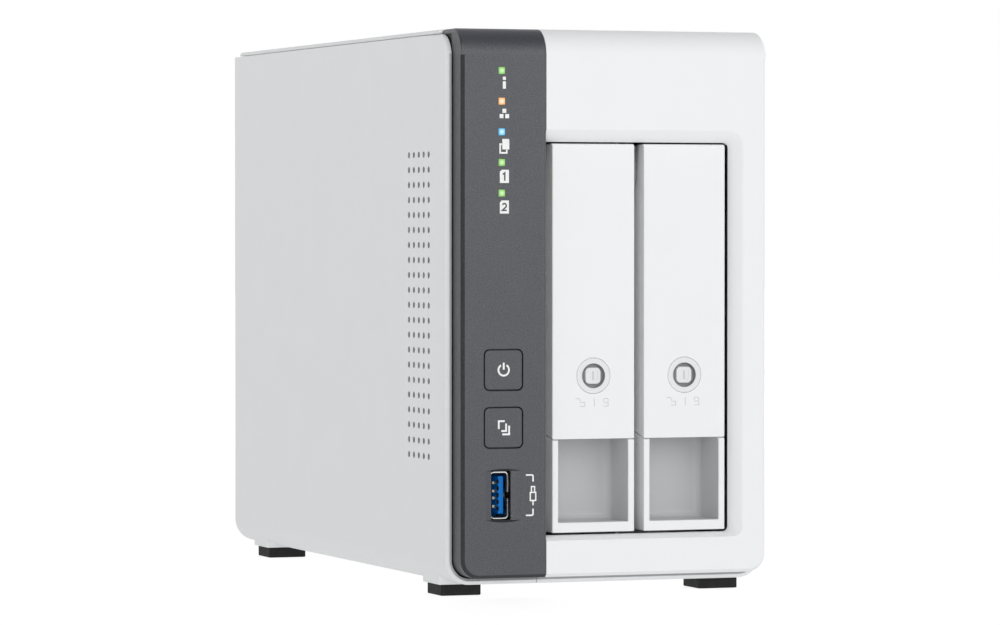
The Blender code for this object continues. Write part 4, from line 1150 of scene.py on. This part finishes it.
def tray_fittings(number):
    for end in ("lower", "upper"):
        node = f"tray_{number}_{end}_clip"
        stand_in(node, "strip", CLIP, block(*spans(node), 0.35, 3))
    node = f"tray_{number}_hinge_pin"
    low, high = extent(node)
    radius = (high.y - low.y) / 2
    profile = ((low.x, radius - 0.3), (low.x + 0.3, radius))
    profile += ((high.x - 0.3, radius), (high.x, radius - 0.3))
    stand_in(node, "rod", STEEL, turned("X", (middle(node).y, middle(node).z), profile, 24))


def hard_drive(number):
    """Drive: cast base, lid plate, spindle ring, side screws, label and rear connector notch."""
    node = f"drive_{number}"
    x, y, z = spans(node)
    side = x[1]
    drive = made(f"{node}_body", softened(bar("Y", x, z, y, 1.0, 4), 0.5, 2), ALLOY)
    cut(drive, block((x[0] + 2.5, x[0] + 10.5), (y[1] - 6, y[1] + 1), (z[0] + 3, z[0] + 50)))
    cut(drive, bar("X", grown(y, -4), grown(z, -3), (side - 0.6, side + 1), 6, 6))
    plate = bar("X", grown(y, -4.6), grown(z, -3.6), (side - 1, side - 0.1), 5.5, 6)
    add(drive, softened(plate, 0.2, 2, lambda edge: all(v.co.x > side - 0.2 for v in edge.verts)))
    hub = (middle(node).y + 18, middle(node).z)
    cut(drive, ring_cutter("X", hub, 14.0, 13.0, side - 0.5, side + 0.5, 48))
    stands_for(drive, node)
    label = bar("X", (y[0] + 14, y[0] + 66), grown(z, -16), (side - 0.15, side - 0.02), 1.5, 4)
    extra(f"{node}_label", node, LABEL, label)
    head = ((side - 0.6, 1.9), (side - 0.2, 1.9), (side - 0.02, 1.5))
    places = [(a, b) for a in grown(y, -8) for b in grown(z, -7.5)]
    extra(f"{node}_screws", node, SCREW, *[turned("X", place, head, 20) for place in places])


# ---- Rear and inside


def grille_slots(through):
    """Level slots with round ends that fill a circle in front of the fan, split by a post."""
    x, z = middle("fan_rotor").xz
    slots = []
    for rise in (row * GRILLE_PITCH for row in range(-GRILLE_ROWS, GRILLE_ROWS + 1)):
        reach = math.sqrt(GRILLE_RADIUS**2 - (abs(rise) + GRILLE_HALF) ** 2)
        for side in (-1, 1):
            across = sorted((x + side * 1.5, x + side * reach))
            slots.append(bar("Y", across, about(z + rise, GRILLE_HALF), through, 1.45, 6))
    return slots


def rear_panel():
    x, y, z = spans("rear_panel")
    through = grown(y, 1)
    corner = CORNER - WALL - 0.35
    plate = softened(bar("Y", x, z, y, (corner, corner, 0, 0), 12), 0.3, 3)
    panel = made("rear_panel_plate", plate, WHITE)
    cut(panel, *grille_slots(through))
    holes = []
    for node in ("power_jack", "network_jack_1", "network_jack_2", "rear_port_1", "rear_port_2"):
        across, _, up = spans(node)
        holes.append(bar("Y", grown(across, 0.3), grown(up, 0.3), through, 0.3, 4))
    holes.append(rod("Y", middle("reset_button").xz, 1.6, *through, 24))
    holes.append(bar("Y", (-38.0, -31.0), (134.0, 137.2), through, 1.2, 6))
    for kind, radius in (("rear_screw", 1.9), ("fan_screw", 2.3)):
        for number in range(1, 5):
            holes.append(rod("Y", middle(f"{kind}_{number}").xz, radius, *through, 20))
    cut(panel, *holes)
    cut(panel, ring_cutter("Y", middle("fan_rotor").xz, 34.6, 34.0, y[1] - 0.3, y[1] + 1, 96))
    stands_for(panel, "rear_panel")


def screw(node):
    """Pan-head screw with a cross recess."""
    low, high = extent(node)
    x, z = face_centre(node)
    head, seat = (high.x - low.x) / 2, high.y - 1.6
    shank = head * 0.52
    dome = ((0, 0.35), (0.12, 0.62), (0.4, 0.85), (0.8, 1))
    profile = [(high.y - depth, share * head) for depth, share in dome]
    profile += [(seat, head), (seat, shank)]
    for turn in range(int((seat - low.y - 1.2) / THREAD)):
        y = seat - 0.4 - turn * THREAD
        profile += [(y, shank), (y - THREAD / 2, shank * 0.86)]
    profile.append((low.y, shank * 0.4))
    steel = made(f"{node}_steel", turned("Y", (x, z), profile, 28), SCREW)
    for wide, tall in ((1.3, 0.3), (0.3, 1.3)):
        cut(steel, block(about(x, wide), (high.y - 0.9, high.y + 1), about(z, tall)))
    stands_for(steel, node)


def network_jack(number):
    """Network jack: steel can, latch step in its mouth, gold contacts and two small lamps."""
    node = f"network_jack_{number}"
    x, y, z = spans(node)
    jack = made(f"{node}_can", block(x, y, z, 0.35, 3), STEEL)
    mouth_x, mouth_z = (x[0] + 1.2, x[1] - 2.4), grown(z, -2.1)
    cut(jack, bar("Y", mouth_x, mouth_z, (y[0] + 9.5, y[1] + 1), 0.2, 3))
    stands_for(jack, node)
    lining = block(mouth_x, (y[0] + 9.6, y[1] - 0.3), mouth_z, 0.1)
    liner = made(f"{node}_liner", lining, BLACK)
    depth, latch = (y[0] + 10.2, y[1] + 1), mouth_x[0] + 2.6
    cut(liner, block((latch, mouth_x[1] - 0.4), depth, grown(mouth_z, -0.4)))
    cut(liner, block((mouth_x[0] + 0.4, latch + 0.5), depth, about(middle(node).z, 3.2)))
    detail(liner, node)
    wires = ((mouth_x[1] - 1.1, mouth_x[1] - 0.75), (y[0] + 10.4, y[1] - 2.2))
    contact_row(f"{node}_contacts", node, *wires, JACK_CONTACTS, 0.17)
    for name, lamp_z in (("link", z[0] + 1.15), ("speed", z[1] - 1.15)):
        lamp_x, lamp_y = (x[0] + 1.2, x[0] + 3.8), (y[1] - 0.5, y[1] + 0.02)
        lamp = bar("Y", lamp_x, about(lamp_z, 0.65), lamp_y, 0.2, 3)
        extra(f"{node}_{name}_lamp", node, LAMP_LENS, lamp)


def rear_port(number):
    node = f"rear_port_{number}"
    x, y, z = spans(node)
    port = made(f"{node}_sleeve", softened(bar("Y", x, z, y, 0.7, 5), 0.1, 2), STEEL)
    cut(port, bar("Y", grown(x, -0.45), grown(z, -0.45), (y[0] + 5.5, y[1] + 1), 0.4, 5))
    stands_for(port, node)
    blade = block((x[0] + 1.4, x[0] + 3.2), (y[0] + 5.0, y[1] - 1.2), grown(z, -1.2), 0.15)
    extra(f"{node}_tongue", node, BLACK, blade)
    springs = ((x[0] + 3.1, x[0] + 3.35), (y[0] + 5.6, y[1] - 2.2))
    contact_row(f"{node}_contacts", node, *springs, PORT_CONTACTS, 0.4)


def power_jack():
    node = "power_jack"
    low, high = extent(node)
    centre = (low.x + 5.2, middle(node).z)
    jack = made(f"{node}_body", block(*spans(node), 0.5, 3), BLACK)
    flare = ((-0.4, 3.2), (-0.1, 3.32), (0, 3.55), (1, 3.55))
    profile = [(low.y + 5, 3.2)] + [(high.y + depth, radius) for depth, radius in flare]
    cut(jack, turned("Y", centre, profile, 40))
    stands_for(jack, node)
    profile = ((low.y + 4.5, 1.0), (high.y - 1.9, 1.0), (high.y - 1.6, 0.85), (high.y - 1.5, 0.5))
    extra(f"{node}_pin", node, STEEL, turned("Y", centre, profile, 24))


def reset_button():
    node = "reset_button"
    low, high = extent(node)
    flange = high.y - 1.75
    profile = ((high.y, 0.9), (high.y - 0.1, 1.2), (high.y - 0.3, 1.3), (flange, 1.3))
    profile += ((flange, 2.3), (flange - 1, 2.3), (flange - 1, 1.3), (low.y, 1.3))
    stand_in(node, "cap", BLACK, turned("Y", face_centre(node), profile, 32))


def fan_frame():
    low, high = extent("fan_frame")
    centre = middle("fan_frame").xz
    body = prism(square(centre, high.x - low.x, 4.0), "Y", low.y, high.y)
    fan = made("fan_housing", softened(body, 0.4, 2), BLACK)
    wide = FAN_BORE + 1.2
    flare = ((low.y - 1, wide), (low.y, wide), (low.y + 3, FAN_BORE))
    flare += ((high.y - 3, FAN_BORE), (high.y, wide), (high.y + 1, wide))
    places = [middle(f"fan_screw_{number}").xz for number in range(1, 5)]
    holes = [rod("Y", place, 2.15, low.y - 1, high.y + 1, 20) for place in places]
    cut(fan, turned("Y", centre, flare, 72), *holes)
    base = high.y - 3.0
    profile = ((base, HUB_RADIUS), (high.y - 0.4, HUB_RADIUS), (high.y, HUB_RADIUS - 0.4))
    add(fan, turned("Y", centre, profile, 48))
    for turn in range(4):
        strut = block((13.0, FAN_BORE + 1.5), (base + 0.3, high.y - 0.4), (-1.3, 1.3), 0.4)
        turned_by = Matrix.Rotation(math.radians(90 * turn + 20), 3, "Y")
        bmesh.ops.rotate(strut, verts=strut.verts, cent=(0, 0, 0), matrix=turned_by)
        bmesh.ops.translate(strut, verts=strut.verts, vec=(centre[0], 0, centre[1]))
        add(fan, strut)
    cut(fan, rod("Y", centre, 1.7, base - 1, high.y - 1.2, 24))
    stands_for(fan, "fan_frame")
    sticker = rod("Y", centre, 11.5, high.y - 0.02, high.y + 0.03, 48)
    extra("fan_sticker", "fan_frame", LABEL, sticker)


def fan_blade(turn, centre, mid_y):
    """One twisted, cambered blade from inside the hub wall to just short of the bore."""
    inner, outer = HUB_RADIUS - 1.5, FAN_BORE - 1.5
    body = bmesh.new()
    loops = []
    for share in (step / 8 for step in range(9)):
        radius = inner + (outer - inner) * share
        pitch = math.radians(48 - 18 * share)
        chord = 13 + 5 * share
        upper, lower = [], []
        for along in (place / 8 - 0.5 for place in range(9)):
            round_off = 1 - (2 * along) ** 2
            thick = 1.2 * math.sqrt(max(round_off, 0.0)) + 0.25
            for row, off in ((upper, thick / 2), (lower, -thick / 2)):
                rise = 1.4 * round_off - 0.7 + off
                swing = chord * along * math.cos(pitch) - rise * math.sin(pitch)
                y = mid_y + chord * along * math.sin(pitch) + rise * math.cos(pitch)
                angle = turn + swing / radius
                x, z = radius * math.cos(angle), radius * math.sin(angle)
                row.append((centre[0] + x, y, centre[1] + z))
        loops.append([body.verts.new(point) for point in upper + lower[::-1]])
    return closed(body, loops)


def fan_rotor():
    front, base = extent("fan_frame")[0].y + 1.5, extent("fan_frame")[1].y - 3.0
    centre, mid_y = middle("fan_frame").xz, middle("fan_frame").y - 2.0
    profile = ((front, 12.2), (front + 0.25, 13.2), (front + 1.0, HUB_RADIUS))
    profile += ((base - 0.8, HUB_RADIUS), (base - 0.8, 1.5), (base + 1.2, 1.5))
    rotor = made("fan_rotor_hub", turned("Y", centre, profile, 56), BLACK)
    add(rotor, *[fan_blade(2 * math.pi * blade / 7, centre, mid_y) for blade in range(7)])
    stands_for(rotor, "fan_rotor")


def foot(node):
    x, y, z = spans(node)
    stations = []
    for depth, inset in quarter_round(0.3):
        stations.append((z[0] + depth, rectangle(*grown(x, -inset), *grown(y, -inset), 0.4, 4)))
    stations.append((z[1], rectangle(*x, *y, 0.4, 4)))
    stand_in(node, "pad", RUBBER, stepped("Z", stations))


def carried(node, finish, edge):
    """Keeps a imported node's own shape, with a new finish and softened edges."""
    obj = frame["nodes"][node]
    for slot in obj.material_slots:
        slot.material = finish
    weld = obj.modifiers.new("weld", "WELD")
    weld.merge_threshold = 0.001 * MM
    bevel = obj.modifiers.new("soft_edges", "BEVEL")
    bevel.width = edge * MM
    bevel.segments = 2
    bevel.limit_method = "ANGLE"
    bevel.angle_limit = math.radians(40)


def board_chips():
    """Black chips on the main board, as (y, z, wide, tall, thick)."""
    sizes = (
        (-50, 110, 14, 14, 1.6),
        (-50, 88, 10, 16, 1.4),
        (30, 118, 12, 12, 1.5),
        (52, 40, 8, 20, 1.2),
        (70, 118, 16, 9, 2.0),
    )
    face = extent("main_board")[0].x - 0.01
    bodies = []
    for y, z, wide, tall, thick in sizes:
        bodies.append(block((face - thick, face), about(y, wide / 2), about(z, tall / 2), 0.2))
    extra("main_board_chips", "main_board", BLACK, *bodies)


# ---- Assembly


def build():
    left_cover()
    right_cover()
    top_cover()
    front_bezel()
    control_panel()
    for node in LIGHTS:
        light_pipe(node)
    for node in ("power_button", "copy_button"):
        press_button(node)
    front_port()
    light_icons()
    port_marks()
    button_icons()
    pairs = (tray_handle, tray_lock, tray_frame, tray_fittings, hard_drive, network_jack, rear_port)
    for number in (1, 2):
        for make in pairs:
            make(number)
    rear_panel()
    power_jack()
    reset_button()
    fan_frame()
    fan_rotor()
    for kind in ("fan_screw", "rear_screw"):
        for number in range(1, 5):
            screw(f"{kind}_{number}")
    for node in FEET:
        foot(node)
    carried("drive_cage", ZINC, 0.15)
    carried("heat_sink", ALLOY, 0.15)
    for node in ("front_board", "main_board", "backplane_board"):
        carried(node, BOARD, 0.1)
    for switch in ("power_switch", "copy_switch", "reset_switch"):
        carried(switch, BLACK, 0.2)
    for socket in ("backplane_socket", "drive_socket_1", "drive_socket_2"):
        carried(socket, BLACK, 0.2)
    board_chips()


AMBIENT = 0.965
FLOOR_SIZE = 6000
FLOOR_SHOWN = 0.86
FLOOR_LIGHT = 0.6
# Directions in which the surroundings are darker: where that starts, and what is left of the light
DARKENED = (
    ((-0.88, -0.32, 0.35), 0.2, 0.1),
    ((0.0, 0.0, 1.0), 0.3, 0.35),
    ((-0.34, 0.94, 0.0), 0.7, 0.5),
)
# Name, place, width and watts of each soft light
LAMPS = (
    ("key", (-600, -1800, 800), 2000, 15.5),
    ("fill", (900, -1900, 250), 1500, 5.0),
    ("side", (-1800, 700, 500), 1500, 7.2),
    ("top", (-300, 300, 1900), 1500, 2.5),
    ("back", (-900, 1600, 900), 1300, 3.5),
)


def surroundings():
    """World that lights the object unevenly and is plain white to the camera."""
    world = bpy.data.worlds.new("studio")
    bpy.context.scene.world = world
    world.use_nodes = True
    graph = Graph(world.node_tree)
    lighting, output = world.node_tree.nodes["Background"], world.node_tree.nodes["World Output"]
    lighting.inputs["Color"].default_value = (1, 1, 1, 1)
    place = graph.node("TexCoord").outputs["Generated"]
    strength = AMBIENT
    for direction, start, share in DARKENED:
        toward = graph.maths("VectorMath", "DOT_PRODUCT", place, direction)
        ends = {"From_Min": start, "From_Max": 0.95, "To_Min": 1.0, "To_Max": share}
        fall = graph.node("MapRange", (("interpolation_type", "SMOOTHSTEP"),), Value=toward, **ends)
        strength = graph.maths("Math", "MULTIPLY", strength, fall.outputs["Result"])
    graph.feed(lighting.inputs["Strength"], strength)
    seen = graph.node("Background", Color=(1, 1, 1, 1), Strength=1.0)
    path = graph.node("LightPath")
    mix = graph.node("MixShader")
    sources = (path.outputs["Is Camera Ray"], lighting.outputs[0], seen.outputs[0])
    for socket, source in zip(mix.inputs, sources):
        graph.feed(socket, source)
    graph.feed(output.inputs[0], mix.outputs[0])


def floor_finish():
    """Pale floor that fades into the white surroundings."""
    look = Look("pale_floor", (0.16, 0.16, 0.16), 0.8)
    look.set("Base Color", look.mottled(80, 0.01))
    away = look.maths("VectorMath", "LENGTH", look.place)
    look.set("Emission Color", (1, 1, 1, 1))
    shown = look.ranged(away, FLOOR_SHOWN, 1.0, 0.25, 1.2)
    seen = look.node("LightPath").outputs["Is Camera Ray"]
    look.set("Emission Strength", look.ranged(seen, FLOOR_LIGHT, shown))
    return look.material


def studio():
    """Pale floor, white surroundings and large soft lights."""
    scene = bpy.context.scene
    scene.view_settings.view_transform = "Standard"
    surroundings()
    reach = (-FLOOR_SIZE, FLOOR_SIZE)
    floor = made("floor", block(reach, reach, (-20, 0)), floor_finish())
    floor.data.transform(Matrix.Scale(MM, 4))
    target = Vector((0, 0, (CAD_BOX[0][2] + CAD_BOX[1][2]) / 2 / MM))
    for name, place, width, watts in LAMPS:
        data = bpy.data.lights.new(name, "AREA")
        data.shape = "SQUARE"
        data.size = width * MM
        data.energy = watts
        lamp = bpy.data.objects.new(name, data)
        lamp.location = Vector(place) * MM
        lamp.rotation_euler = (Vector(place) - target).to_track_quat("Z", "Y").to_euler()
        scene.collection.objects.link(lamp)


def camera():
    data = bpy.data.cameras.new("camera")
    data.sensor_width = 36.0
    data.lens = 169.77
    data.clip_start, data.clip_end = 0.1, 100
    eye = bpy.data.objects.new("camera", data)
    eye.location = Vector((-512.9, -1412.6, 110.5)) * MM
    eye.rotation_euler = (math.radians(90 - 1.067), 0, math.radians(-20.0975))
    bpy.context.scene.collection.objects.link(eye)
    bpy.context.scene.camera = eye


build()
studio()
camera()
